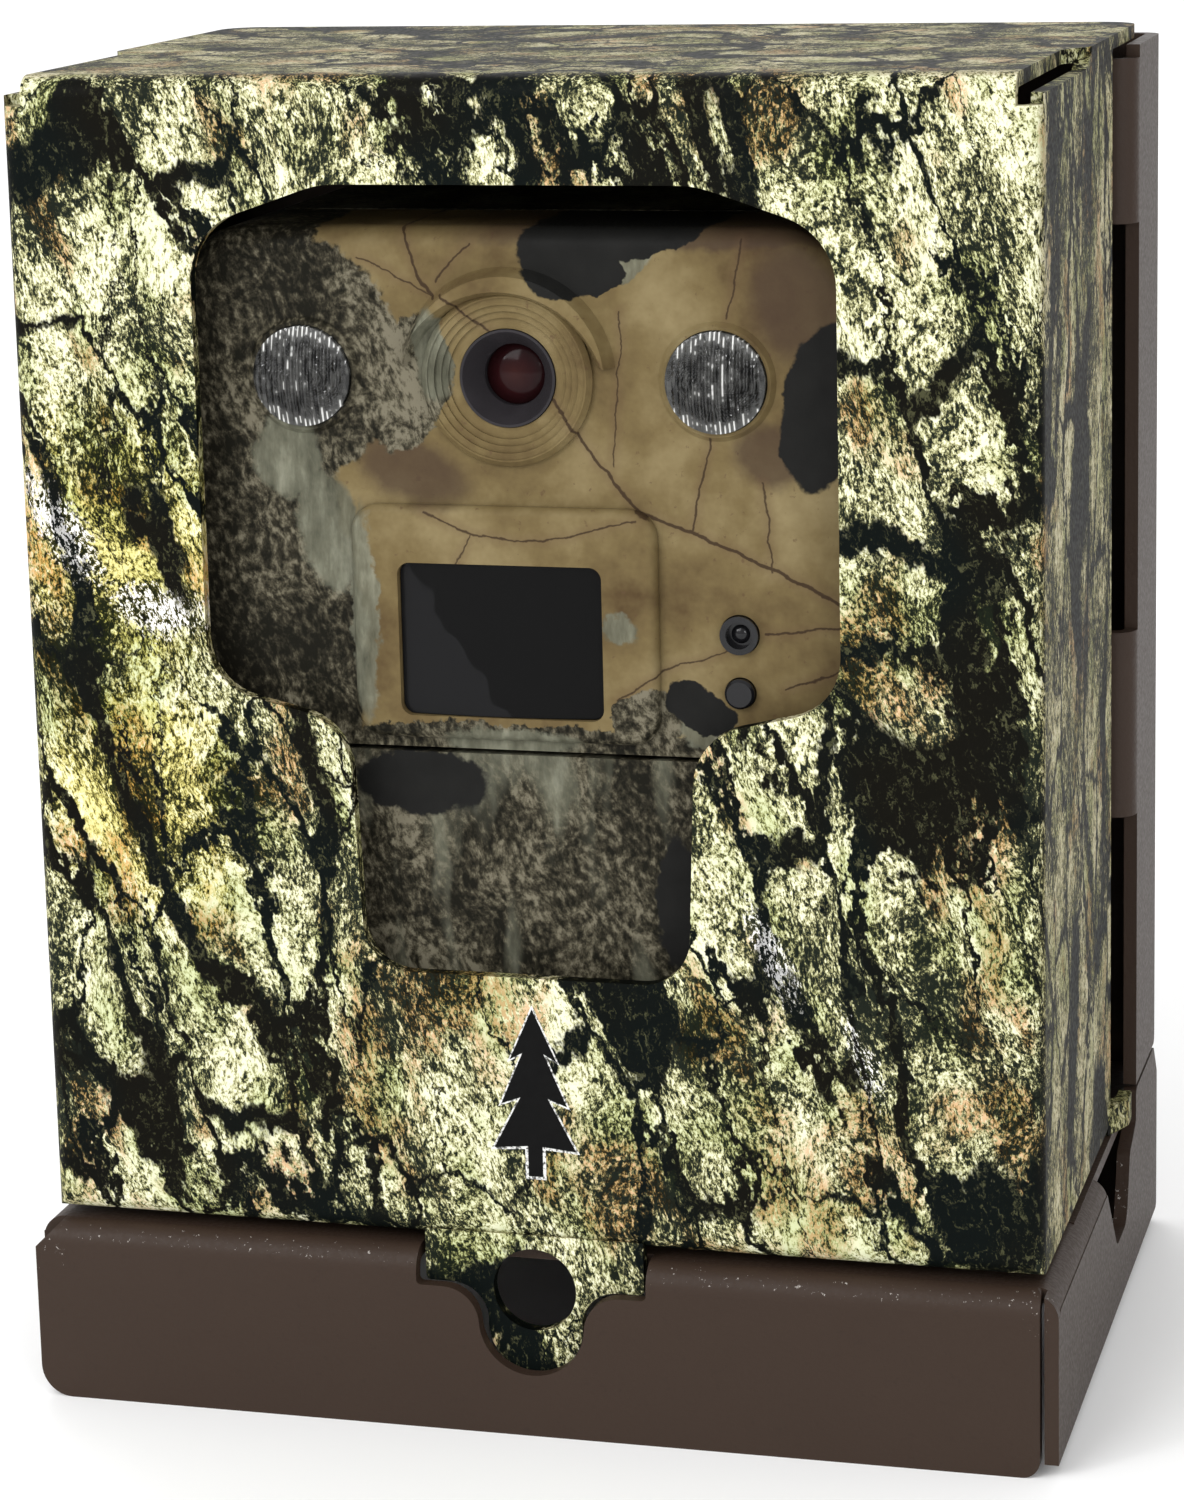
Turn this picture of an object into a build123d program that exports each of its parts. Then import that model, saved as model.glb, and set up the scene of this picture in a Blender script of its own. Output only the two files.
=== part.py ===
from build123d import *
import math
import os

# Trail camera in a steel security box.  Millimetres, +Z up, +Y towards the tree.
# The origin is the centre of the bounding box's bottom face.

# ---- Security box: driving dimensions -------------------------------------------
SHEET = 1.7              # 16 gauge steel with its powder coat
BACK_Y = 45.0            # outer face of the back plate
APRON_Y = -45.0          # outer face of the apron
COVER_Y = -43.0          # outer face of the front cover
COVER_HALF = 62.0        # half the front cover's width
COVER_BOTTOM = 24.0
COVER_CORNER = 2.4       # the front's lower corners are rounded off
COVER_TOP = 164.7
COVER_BEND = 2.6         # outer bend radius of the cover
COVER_SIDE_REAR = 14.0   # rear edge of the cover's side flanges
ROOF_HALF = 59.1         # the roof flange is narrower than the cover
ROOF_REAR = 41.0
ROOF_WING_Y = -4.0       # behind this the roof is as wide as the cover and joins its sides
ROOF_WING_REAR = 39.0
SIDE_TOP = 162.3         # top edge of the cover's side flanges
SHELL_HALF = 64.1        # half the width over the back shell's side flanges
SHELL_BEND = 3.0         # outer bend radius of the brown sheet
SHELL_BOTTOM = 26.3
SHELL_TOP = 162.9
LIP_Y = 20.5             # front face of the side flanges' turned-in lips
LIP_DEPTH = 7.0
FLANGE_CUT_Y = 23.5      # front edge of the side flanges between the lips
TOP_LIP_LOW = 140.6
MID_LIP = (63.4, 87.9)
SHELF_TOP = 22.8
WALL_BOTTOM = 1.7
TRAY_WALL_TOP = 25.7
APRON_RIGHT = 61.9
REAR_FLANGE_TOP = 32.0

# ---- Window, lock tab and its cut-out -------------------------------------------
WINDOW_TOP = 152.1
WINDOW_HALF = 38.7
SHOULDER_Z = 146.6
CROWN_HALF = 22.5
SILL_OUT_Z = 91.9
NECK_TOP_HALF = 21.2
NECK_TOP_Z = 87.8
NECK_HALF = 20.0
NECK_BOTTOM = 57.4
TAB_HALF = 13.7
TAB_SHOULDER_Z = 18.4
TAB_NOSE_R = 5.9
TAB_NOSE_Z = 13.3
TAB_FILLET = 4.5
LOCK_HOLE_R = 5.2
LOCK_HOLE_Z = 18.05
CUTOUT_GAP = 0.7
CUTOUT_RAISE = 1.0
CUTOUT_REAR = -40.5

# ---- Roof hook and side ears of the cover ---------------------------------------
HOOK_HALF = 28.0
HOOK_BOTTOM = 157.2
EAR_Y = (12.0, 20.0)
EAR_OUT = 64.0
EAR_Z = (22.95, 26.6)

# ---- Back plate holes -------------------------------------------------------------
BOLT_R = 3.5
BOLT_DX = 70.0
BOLT_DZ = 84.0
BOLT_Z = 92.0

# ---- Camera: driving dimensions --------------------------------------------------
CAM_X = -1.9             # the camera sits a little left of the box's middle
CAM_HALF = 42.0
CAM_BOTTOM = SHELF_TOP
CAM_TOP = 146.5
FACE_Y = -37.0
SPLIT_Y = -19.0          # front housing ends, gasket begins
GASKET = 1.0
REAR_Y = 23.0
WALL = 2.2
TOP_R = 10.0
BOTTOM_R = 6.0
SEAM_Z = 83.9            # bottom of the upper face
DOOR_TOP = 83.3
PANEL_Y = -25.2          # front of the control panel behind the door
PANEL_T = 2.0
DOOR_REAR = -25.6
EYE_Z = 128.8            # height of the lens and the two emitters
EMITTER_DX = 25.2
EMITTER_R = 6.0
LENS_R = 5.8
LENS_FRONT = FACE_Y - 0.3
LENS_THROAT = 3.7        # radius at the bottom of the barrel's funnel
FUNNEL = 3.2             # depth of that funnel
RING_STEPS = ((9.6, 0.0), (8.8, 0.3), (8.0, 0.6), (7.2, 0.9))
BOSS_R = 10.4
BOSS_UP = 1.1
BROW_R = 13.4            # crescent ridge over the lens
BROW_UP = 2.0
PIR_X = CAM_X - 1.4
PIR_Z = 97.4
PIR_W = 24.9
PIR_H = 18.4
BEZEL_W = 37.6
BEZEL_H = 28.4
BEZEL_Z = 99.4
BEZEL_UP = 1.6
SENSOR_DX = 27.4
SENSOR_Z = 98.9
LED_Z = 91.9

# ---- Control panel ----------------------------------------------------------------
SCREEN = (-35.0, -4.0, 58.0, 81.0)
PAD_DX = 20.0
PAD_Z = 69.5
PAD_STEP = 8.0
POWER_DX = 35.0
POWER_Z = 78.5
BUTTON_R = 2.5
BUTTON_GAP = 0.1
CARD = (4.0, 36.0, 33.6, 57.6)
CARD_Y = (-28.4, -26.3)

# ---- Door hinge and latch ----------------------------------------------------------
HINGE_Y = -29.0
HINGE_Z = 28.6
PIN_R = 1.5
PIN_FIT = 0.05
LUG_R = 3.0
LATCH_PIVOT_Y = -17.5
LATCH_PIVOT_X = CAM_X + CAM_HALF + 2.6
LATCH_Z = (50.0, 62.0)
LATCH_PIN_R = 1.2

# ---- Rear of the camera ------------------------------------------------------------
BATTERY_R = 7.1
BATTERY_L = 50.5
BATTERY_Y = (-3.6, 11.4)
BATTERY_Z = (43.6, 58.8, 74.0)
BAY_Y = (-11.8, 20.0)    # battery tray, front to back
BAY_Z = (34.6, 83.0)
BAY_HALF = 28.1          # from the camera's middle to the tray's inner end
BRACKET_HALF = 25.0
BRACKET_Z = (52.0, 132.0)
INSERT_R = 4.6
INSERT_BORE_R = 2.55
INSERT_L = 9.5
INSERT_Z = 92.0
SIDE_PLUG_Z = 107.0
SIDE_PLUG_Y = 3.0
EJECT_Z = 92.0


# ---- Helpers -----------------------------------------------------------------------
def slab_x(face, x0, x1):
    """A face drawn in (y, z) made solid from x0 to x1."""
    return extrude(Plane.YZ.offset(x0) * face, amount=x1 - x0)


def slab_y(face, y0, y1):
    """A face drawn in (x, z) made solid from y0 to y1."""
    return extrude(Plane.XZ.offset(-y1) * face, amount=y1 - y0)


def slab_z(face, z0, z1):
    """A face drawn in (x, y) made solid from z0 to z1."""
    return extrude(Plane.XY.offset(z0) * face, amount=z1 - z0)


def block(x0, x1, y0, y1, z0, z1):
    """A plain rectangular solid between two corners."""
    centre = Pos((x0 + x1) / 2, (y0 + y1) / 2, (z0 + z1) / 2)
    return centre * Box(x1 - x0, y1 - y0, z1 - z0)


def rod_y(x, z, radius, y0, y1):
    """A round bar along Y."""
    return Pos(x, (y0 + y1) / 2, z) * Rot(90, 0, 0) * Cylinder(radius, y1 - y0)


def rod_x(y, z, radius, x0, x1):
    """A round bar along X."""
    return Pos((x0 + x1) / 2, y, z) * Rot(0, 90, 0) * Cylinder(radius, x1 - x0)


def rod_z(x, y, radius, z0, z1):
    """A round bar along Z."""
    return Pos(x, y, (z0 + z1) / 2) * Cylinder(radius, z1 - z0)


def rounded_polygon(corners):
    """A face from (x, y, radius) corners, each corner rounded by its own radius."""
    edges = []
    ends = []
    count = len(corners)
    for i in range(count):
        x, y, radius = corners[i]
        point = Vector(x, y)
        before = Vector(*corners[i - 1][:2]) - point
        after = Vector(*corners[(i + 1) % count][:2]) - point
        if radius == 0:
            ends.append((point, point))
            continue
        u, v = before.normalized(), after.normalized()
        half = math.radians(u.get_angle(v)) / 2
        reach = radius / math.tan(half)
        start, end = point + u * reach, point + v * reach
        middle_way = (u + v).normalized()
        middle = point + middle_way * (radius / math.sin(half) - radius)
        edges.append(ThreePointArc(start, middle, end))
        ends.append((start, end))
    for i in range(count):
        leave, arrive = ends[i][1], ends[(i + 1) % count][0]
        if (arrive - leave).length > 1e-6:
            edges.append(Line(leave, arrive))
    return make_face(edges)


def mirrored(half):
    """Corners of a shape symmetric about x = 0, from its right half, top to bottom."""
    left = [(-x, y, radius) for x, y, radius in reversed(half)]
    return rounded_polygon(half + left)


def rounded_rectangle(x0, x1, z0, z1, radius):
    """An axis-aligned rectangle with four equal round corners."""
    corners = [(x0, z0, radius), (x1, z0, radius), (x1, z1, radius), (x0, z1, radius)]
    return rounded_polygon(corners)


def strip(points, bends, thickness):
    """A folded sheet's section: its outer line, offset inwards by the thickness.

    points run along the outer surface with the inside on their left.
    """
    outer = []
    inner = []
    count = len(points)
    for i, (x, y) in enumerate(points):
        point = Vector(x, y)
        radius = bends[i]
        if i == 0 or i == count - 1:
            along = Vector(*points[1]) - point if i == 0 else point - Vector(*points[-2])
            left = Vector(-along.Y, along.X).normalized()
            outer.append((x, y, 0))
            moved = point + left * thickness
            inner.append((moved.X, moved.Y, 0))
            continue
        a = (point - Vector(*points[i - 1])).normalized()
        b = (Vector(*points[i + 1]) - point).normalized()
        na, nb = Vector(-a.Y, a.X), Vector(-b.Y, b.X)
        moved = point + (na + nb) * (thickness / (1 + na.dot(nb)))
        outer.append((x, y, radius))
        inner.append((moved.X, moved.Y, max(radius - thickness, 0.3)))
    return rounded_polygon(outer + inner[::-1])


# ---- Security box ------------------------------------------------------------------
def window_face():
    """The T-shaped window: wide over the camera's face, narrow over its door."""
    return mirrored([
        (CROWN_HALF, WINDOW_TOP, 12.0),
        (WINDOW_HALF, SHOULDER_Z, 8.5),
        (WINDOW_HALF, SILL_OUT_Z, 7.5),
        (NECK_TOP_HALF, NECK_TOP_Z, 7.5),
        (NECK_HALF, NECK_BOTTOM, 6.0),
    ])


def tab_face(grow, raise_by, top):
    """The stepped lock tab's outline, optionally grown for its cut-out."""
    nose_r = TAB_NOSE_R + grow
    nose_bottom = TAB_NOSE_Z - TAB_NOSE_R + raise_by
    shoulder = TAB_SHOULDER_Z + raise_by - grow / 2
    wide = TAB_HALF + grow
    return mirrored([
        (wide, top, 0),
        (wide, shoulder, 0.6),
        (nose_r, shoulder, TAB_FILLET),
        (nose_r, nose_bottom, nose_r - 0.02),
    ])


def front_cover():
    """Cap of front, roof and two sides, with the window, lock tab, hook and ears."""
    inner_y = COVER_Y + SHEET
    sides = strip(
        [(-COVER_HALF, COVER_SIDE_REAR), (-COVER_HALF, COVER_Y),
         (COVER_HALF, COVER_Y), (COVER_HALF, COVER_SIDE_REAR)],
        [0, COVER_BEND, COVER_BEND, 0], SHEET)
    joined_top = COVER_TOP - 0.6
    cover = slab_z(sides, COVER_BOTTOM, joined_top)
    side_face = rounded_polygon([
        (COVER_Y, COVER_BOTTOM, COVER_CORNER), (COVER_SIDE_REAR, COVER_BOTTOM, 1.0),
        (COVER_SIDE_REAR, joined_top, 0), (ROOF_WING_Y, joined_top, 0),
        (ROOF_WING_Y - 5, SIDE_TOP, 0), (COVER_Y, SIDE_TOP, 0)])
    cover &= slab_x(side_face, -COVER_HALF - 1, COVER_HALF + 1)
    roof_line = strip(
        [(ROOF_REAR, HOOK_BOTTOM), (ROOF_REAR, COVER_TOP),
         (COVER_Y, COVER_TOP), (COVER_Y, WINDOW_TOP)],
        [0, 2.0, COVER_BEND, 0], SHEET)
    roof = slab_x(roof_line, -ROOF_HALF, ROOF_HALF)
    for side in (-1, 1):
        x0, x1 = sorted((side * HOOK_HALF, side * (ROOF_HALF + 1)))
        roof -= block(x0, x1, ROOF_REAR - 2.2, ROOF_REAR + 1, HOOK_BOTTOM - 1, COVER_TOP - SHEET)
        corner = Pos(side * ROOF_HALF, ROOF_REAR, COVER_TOP) * Rot(0, 0, 45) * Box(5.0, 5.0, 8.0)
        roof -= corner
        # bend relief where roof, side and front meet
        relief = block(-1.4, 1.4, COVER_Y - 1, COVER_Y + 3.4, SIDE_TOP - 1.2, COVER_TOP + 1)
        cover -= Pos(side * (ROOF_HALF + 1.4), 0, 0) * relief
    wings = rounded_polygon([
        (-COVER_HALF, ROOF_WING_REAR, 5.0), (-COVER_HALF, ROOF_WING_Y, 1.2),
        (-ROOF_HALF, ROOF_WING_Y - 5, 0), (ROOF_HALF, ROOF_WING_Y - 5, 0),
        (COVER_HALF, ROOF_WING_Y, 1.2), (COVER_HALF, ROOF_WING_REAR, 5.0)])
    cover += roof + slab_z(wings, COVER_TOP - SHEET, COVER_TOP)
    cover += slab_y(tab_face(0, 0, COVER_BOTTOM + 1), COVER_Y, inner_y)
    cover -= slab_y(window_face(), COVER_Y - 1, inner_y + 1)
    cover -= rod_y(0, LOCK_HOLE_Z, LOCK_HOLE_R, COVER_Y - 1, inner_y + 1)
    inside = COVER_HALF - SHEET
    flare = EAR_OUT - SHEET
    ear = slab_z(rounded_polygon([
        (inside, EAR_Y[0], 0), (COVER_HALF, EAR_Y[0], 0), (EAR_OUT, EAR_Y[1] - 3.2, 1.2),
        (EAR_OUT, EAR_Y[1], 0.5), (flare, EAR_Y[1], 0.5), (flare, EAR_Y[1] - 2.8, 1.0),
        (inside, EAR_Y[0] + 1.6, 0)]), EAR_Z[0], EAR_Z[1])
    return cover + ear + mirror(ear, about=Plane.YZ)


def back_shell():
    """Back plate with side flanges, their lips, a slotted top flange and bolt holes."""
    inner = BACK_Y - SHEET
    section = strip(
        [(-SHELL_HALF + LIP_DEPTH, LIP_Y), (-SHELL_HALF, LIP_Y), (-SHELL_HALF, BACK_Y),
         (SHELL_HALF, BACK_Y), (SHELL_HALF, LIP_Y), (SHELL_HALF - LIP_DEPTH, LIP_Y)][::-1],
        [0, SHELL_BEND, SHELL_BEND, SHELL_BEND, SHELL_BEND, 0], SHEET)
    shell = slab_z(section, SHELL_BOTTOM, SHELL_TOP)
    for low, high in ((MID_LIP[1], TOP_LIP_LOW), (SHELL_BOTTOM - 1, MID_LIP[0])):
        for side in (-1, 1):
            x0, x1 = sorted((side * 50, side * (SHELL_HALF + 1)))
            shell -= block(x0, x1, LIP_Y - 1, FLANGE_CUT_Y, low, high)
    # the side flanges' front top corners are rounded off
    for side in (-1, 1):
        x0, x1 = sorted((side * (SHELL_HALF - 12), side * (SHELL_HALF + 1)))
        corner = block(x0, x1, LIP_Y - 1, LIP_Y + 3.2, SHELL_TOP - 1.6, SHELL_TOP + 1)
        shell -= corner
        notch = Pos(side * SHELL_HALF, BACK_Y, SHELL_BOTTOM) * Rot(45, 0, 0) * Box(8, 5, 5)
        shell -= notch
    roof_z = SHELL_TOP - 2.6
    roof = block(-SHELL_HALF + 4, SHELL_HALF - 4, 26.0, inner + 0.01, roof_z, roof_z + SHEET)
    roof -= block(-HOOK_HALF - 1, HOOK_HALF + 1, ROOF_REAR - 3.2, ROOF_REAR + 1, 150, 170)
    shell += roof
    shell += block(-SHELL_HALF + 1.9, SHELL_HALF - 1.9, inner, BACK_Y, 0, SHELL_BOTTOM)
    for sx in (-1, 1):
        for sz in (-1, 1):
            shell -= rod_y(sx * BOLT_DX / 2, BOLT_Z + sz * BOLT_DZ / 2, BOLT_R, inner - 1, BACK_Y + 1)
    return shell


def tray_wall_face():
    """Side view of one tray wall, with the ear's slot and the rear corner's chamfer."""
    return rounded_polygon([
        (APRON_Y + 2.0, WALL_BOTTOM, 0.5),
        (BACK_Y, WALL_BOTTOM, 1.0),
        (BACK_Y, TRAY_WALL_TOP - 4.4, 1.0),
        (BACK_Y - 3.4, TRAY_WALL_TOP, 1.0),
        (FLANGE_CUT_Y, TRAY_WALL_TOP, 1.0),
        (FLANGE_CUT_Y, SHELF_TOP - 1.6, 1.0),
        (17.6, SHELF_TOP - 4.0, 1.5),
        (14.6, 10.4, 3.0),
        (5.6, 10.4, 3.0),
        (-3.6, SHELF_TOP - 2.2, 0),
        (APRON_Y + 2.0, SHELF_TOP - 2.2, 0),
    ])


def base_tray():
    """Shelf under the camera, bent down into the apron and the two side walls."""
    folded = strip(
        [(-SHELL_HALF, WALL_BOTTOM), (-SHELL_HALF, SHELF_TOP),
         (SHELL_HALF, SHELF_TOP), (SHELL_HALF, WALL_BOTTOM)][::-1],
        [0, SHELL_BEND, SHELL_BEND, 0], SHEET)
    tray = slab_y(folded, APRON_Y + 0.4, -3.6)
    tray += block(-SHELL_HALF + 1.8, SHELL_HALF - 1.8, -20, BACK_Y - SHEET, SHELF_TOP - SHEET, SHELF_TOP)
    tray += block(-55, 55, BACK_Y - 2 * SHEET, BACK_Y - SHEET, SHELF_TOP - SHEET, REAR_FLANGE_TOP)
    for side in (-1, 1):
        x0, x1 = sorted((side * (SHELL_HALF - SHEET), side * SHELL_HALF))
        tray += slab_x(tray_wall_face(), x0, x1)
    front = APRON_Y + SHELL_BEND
    tray -= block(-SHELL_HALF - 1, SHELL_HALF - SHEET, APRON_Y - 1, front, -1, SHELF_TOP + 1)
    apron_line = strip(
        [(APRON_Y + 12, SHELF_TOP), (APRON_Y, SHELF_TOP), (APRON_Y, 0)],
        [0, SHELL_BEND, 0], SHEET)
    apron = slab_x(apron_line, -SHELL_HALF, APRON_RIGHT)
    outline = rounded_polygon([
        (-SHELL_HALF, 0, 4.0), (APRON_RIGHT, 0, 2.2), (APRON_RIGHT, SHELF_TOP, 0.8),
        (-SHELL_HALF + 3.2, SHELF_TOP, 0), (-SHELL_HALF, SHELF_TOP - 3.2, 0)])
    apron &= slab_y(outline, APRON_Y - 1, APRON_Y + 12)
    tray += apron
    # the cover's lock tab drops through the shelf and shows in the apron
    tray -= slab_y(tab_face(CUTOUT_GAP, CUTOUT_RAISE - 0.6, SHELF_TOP + 1), APRON_Y - 1, CUTOUT_REAR)
    return tray


# ---- Camera housings ---------------------------------------------------------------
def camera_outline(inset):
    """Front view of the camera, drawn in by an inset."""
    x0, x1 = CAM_X - CAM_HALF + inset, CAM_X + CAM_HALF - inset
    z0, z1 = CAM_BOTTOM + inset, CAM_TOP - inset
    low, top = BOTTOM_R - inset / 2, TOP_R - inset
    return rounded_polygon([(x0, z0, low), (x1, z0, low), (x1, z1, top), (x0, z1, top)])


def camera_front_form():
    """The camera's front half as a solid, with the softened front edge."""
    form = slab_y(camera_outline(0), FACE_Y, SPLIT_Y)
    return fillet(form.faces().sort_by(Axis.Y)[0].edges(), 2.6)


def pir_face(grow):
    """The motion sensor window's outline."""
    w, h = PIR_W / 2 + grow, PIR_H / 2 + grow
    return rounded_rectangle(PIR_X - w, PIR_X + w, PIR_Z - h, PIR_Z + h, 1.4 + max(grow, 0))


def lens_surround():
    """Boss around the lens with a crescent ridge over it."""
    boss = rod_y(CAM_X, EYE_Z, BOSS_R, FACE_Y - BOSS_UP, FACE_Y + 0.5)
    boss = chamfer(boss.edges().sort_by(Axis.Y)[0], 0.6)
    height = BROW_UP + 0.5
    middle = FACE_Y + 0.5 - height / 2
    ridge = Pos(CAM_X, middle, EYE_Z) * Rot(90, 0, 0) * Cone(BROW_R, BROW_R - 1.2, height)
    hollow = Cone(BROW_R - 1.4, BROW_R - 0.2, height + 0.01)
    ridge -= Pos(CAM_X - 0.6, middle, EYE_Z - 2.8) * Rot(90, 0, 0) * hollow
    ridge &= block(CAM_X - 20, CAM_X + 20, FACE_Y - 5, FACE_Y + 0.3, EYE_Z + 1.5, EYE_Z + 20)
    return boss + ridge


def bezel_form():
    """Raised frame around the motion sensor window, softened at its front."""
    x0, x1 = CAM_X - 1.0 - BEZEL_W / 2, CAM_X - 1.0 + BEZEL_W / 2
    face = rounded_rectangle(x0, x1, BEZEL_Z - BEZEL_H / 2, BEZEL_Z + BEZEL_H / 2, 3.5)
    form = slab_y(face, FACE_Y - BEZEL_UP, FACE_Y + 0.5)
    return fillet(form.faces().sort_by(Axis.Y)[0].edges(), 1.2)


def front_housing():
    """Face shell of the camera, with the control panel behind the door."""
    front = camera_front_form()
    front += lens_surround()
    front += bezel_form()
    for side in (-1, 1):
        x = CAM_X + side * EMITTER_DX
        seat = Pos(x, FACE_Y - 0.1, EYE_Z) * Rot(90, 0, 0) * Cone(EMITTER_R + 1.4, EMITTER_R + 0.5, 1.0)
        front += seat
    reach = CAM_HALF + 2
    front -= block(CAM_X - reach, CAM_X + reach, FACE_Y - 3, PANEL_Y, CAM_BOTTOM - 1, SEAM_Z)
    hollow = slab_y(camera_outline(WALL), FACE_Y + WALL, SPLIT_Y)
    hollow -= block(CAM_X - reach, CAM_X + reach, FACE_Y, PANEL_Y + PANEL_T, CAM_BOTTOM, SEAM_Z + WALL)
    front -= hollow
    front -= rod_y(CAM_X, EYE_Z, LENS_R + 0.1, FACE_Y - 3, FACE_Y + 3)
    for radius, depth in RING_STEPS:
        front -= rod_y(CAM_X, EYE_Z, radius, FACE_Y - 3, FACE_Y - BOSS_UP + 0.15 + depth)
    for side in (-1, 1):
        x = CAM_X + side * EMITTER_DX
        front -= rod_y(x, EYE_Z, EMITTER_R + 0.1, FACE_Y - 3, FACE_Y + 3)
    front -= slab_y(pir_face(0.1), FACE_Y - 3, FACE_Y + 3)
    front -= rod_y(CAM_X + SENSOR_DX, SENSOR_Z, 2.4, FACE_Y - 3, FACE_Y + 3)
    front -= rod_y(CAM_X + SENSOR_DX, LED_Z, 1.9, FACE_Y - 3, FACE_Y + 3)
    front -= slab_y(screen_face(0.1), PANEL_Y - 1, PANEL_Y + 1.3)
    for dx, z in button_places().values():
        front -= rod_y(CAM_X + dx, z, BUTTON_R + BUTTON_GAP, PANEL_Y - 1, PANEL_Y + 3)
    # middle hinge lug, standing on the panel
    lug = rod_x(HINGE_Y, HINGE_Z, LUG_R, CAM_X - 19.6, CAM_X + 19.6)
    lug += block(CAM_X - 19.6, CAM_X + 19.6, HINGE_Y, PANEL_Y + 0.5, HINGE_Z - LUG_R, HINGE_Z + LUG_R)
    front += lug - rod_x(HINGE_Y, HINGE_Z, PIN_R + PIN_FIT, CAM_X - 20, CAM_X + 20)
    # latch ears on the right side
    side_x = CAM_X + CAM_HALF
    for z0, z1 in ((LATCH_Z[0] - 3.0, LATCH_Z[0] - 0.3), (LATCH_Z[1] + 0.3, LATCH_Z[1] + 3.0)):
        ear = rod_z(LATCH_PIVOT_X, LATCH_PIVOT_Y - 4.5, 2.4, z0, z1)
        ear += block(side_x - 0.5, LATCH_PIVOT_X, LATCH_PIVOT_Y - 6.9, LATCH_PIVOT_Y - 2.1, z0, z1)
        front += ear
    low, high = LATCH_Z
    front -= rod_z(LATCH_PIVOT_X, LATCH_PIVOT_Y - 4.5, LATCH_PIN_R + PIN_FIT, low - 4, high + 4)
    for x, z in screw_places():
        start = PANEL_Y + 1.0 if z < SEAM_Z else FACE_Y + 1.0
        front += rod_y(x, z, 3.4, start, SPLIT_Y)
        front -= rod_y(x, z, 1.5, PANEL_Y + 1.0, SPLIT_Y)
    return front


def screw_places():
    """The four corner screws that hold the housings together."""
    dx = CAM_HALF - 6.2
    return [(CAM_X + sx * dx, z) for sx in (-1, 1) for z in (CAM_BOTTOM + 7.5, CAM_TOP - 9.0)]


def rear_housing():
    """Back shell of the camera, holding the boards and the battery tray."""
    front_y = SPLIT_Y + GASKET
    rear = slab_y(camera_outline(0), front_y, REAR_Y)
    rear = fillet(rear.faces().sort_by(Axis.Y)[-1].edges(), 3.0)
    rear -= slab_y(camera_outline(WALL), front_y, REAR_Y - WALL)
    left = CAM_X - CAM_HALF
    # two rails carry the battery tray, which comes out through the left wall
    for z0, z1 in ((BAY_Z[0] - 1.9, BAY_Z[0] - 0.2), (BAY_Z[1] + 0.2, BAY_Z[1] + 1.9)):
        rear += block(left + 1, CAM_X + BAY_HALF, -6.0, REAR_Y - 1, z0, z1)
    for x, z in screw_places():
        rear += rod_y(x, z, 3.4, front_y, REAR_Y - WALL + 0.1)
        rear -= rod_y(x, z, 1.6, front_y - 1, REAR_Y + 1)
        rear -= rod_y(x, z, 2.9, REAR_Y - 4.0, REAR_Y + 1)
    rear -= rod_x(SIDE_PLUG_Y, SIDE_PLUG_Z, 4.0, left - 1, left + WALL + 1)
    rear -= rod_x(SIDE_PLUG_Y, EJECT_Z, 3.6, left - 1, left + WALL + 1)
    gap = 0.2
    bay = block(left - 1, left + WALL + 1, BAY_Y[0] - gap, BAY_Y[1] + gap, BAY_Z[0] - gap, BAY_Z[1] + gap)
    return rear - bay


def housing_gasket():
    """Rubber seal squeezed between the two housings."""
    ring = slab_y(camera_outline(0.5), SPLIT_Y, SPLIT_Y + GASKET)
    return ring - slab_y(camera_outline(WALL - 0.2), SPLIT_Y - 1, SPLIT_Y + GASKET + 1)


def housing_screws():
    """Four pan-head screws, driven from the back."""
    screws = []
    for x, z in screw_places():
        screw = rod_y(x, z, 1.45, PANEL_Y + 3.5, REAR_Y - 3.9)
        screw += rod_y(x, z, 2.6, REAR_Y - 4.0, REAR_Y - 1.8)
        screw -= block(x - 2, x + 2, REAR_Y - 2.6, REAR_Y, z - 0.4, z + 0.4)
        screw -= block(x - 0.4, x + 0.4, REAR_Y - 2.6, REAR_Y, z - 2, z + 2)
        screws.append(screw)
    return Compound(children=screws)


# ---- Service door ------------------------------------------------------------------
def service_door():
    """Drop-down door over the screen, buttons and card."""
    reach = CAM_HALF + 2
    cut = block(CAM_X - reach, CAM_X + reach, FACE_Y - 1, DOOR_REAR, CAM_BOTTOM - 1, DOOR_TOP)
    door = camera_front_form() & cut
    hollow = slab_y(camera_outline(WALL), FACE_Y + WALL, DOOR_REAR)
    hollow &= block(CAM_X - reach, CAM_X + reach, FACE_Y, PANEL_Y, CAM_BOTTOM, DOOR_TOP - WALL)
    door -= hollow
    for side in (-1, 1):
        x0, x1 = sorted((CAM_X + side * 20.0, CAM_X + side * 30.0))
        lug = rod_x(HINGE_Y, HINGE_Z, LUG_R, x0, x1)
        lug += block(x0, x1, HINGE_Y - LUG_R, HINGE_Y + LUG_R, CAM_BOTTOM + WALL - 0.3, HINGE_Z)
        door += lug
        door -= rod_x(HINGE_Y, HINGE_Z, PIN_R + PIN_FIT, x0 - 0.2, x1 + 0.2)
    side_x = CAM_X + CAM_HALF
    door -= block(side_x - 1.6, side_x + 1, FACE_Y + 3.4, FACE_Y + 7.4, LATCH_Z[0] - 0.5, LATCH_Z[1] + 0.5)
    return door


def door_hinge_pin():
    """Steel pin through the door's and the panel's lugs."""
    return rod_x(HINGE_Y, HINGE_Z, PIN_R, CAM_X - 30.0, CAM_X + 30.0)


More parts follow.
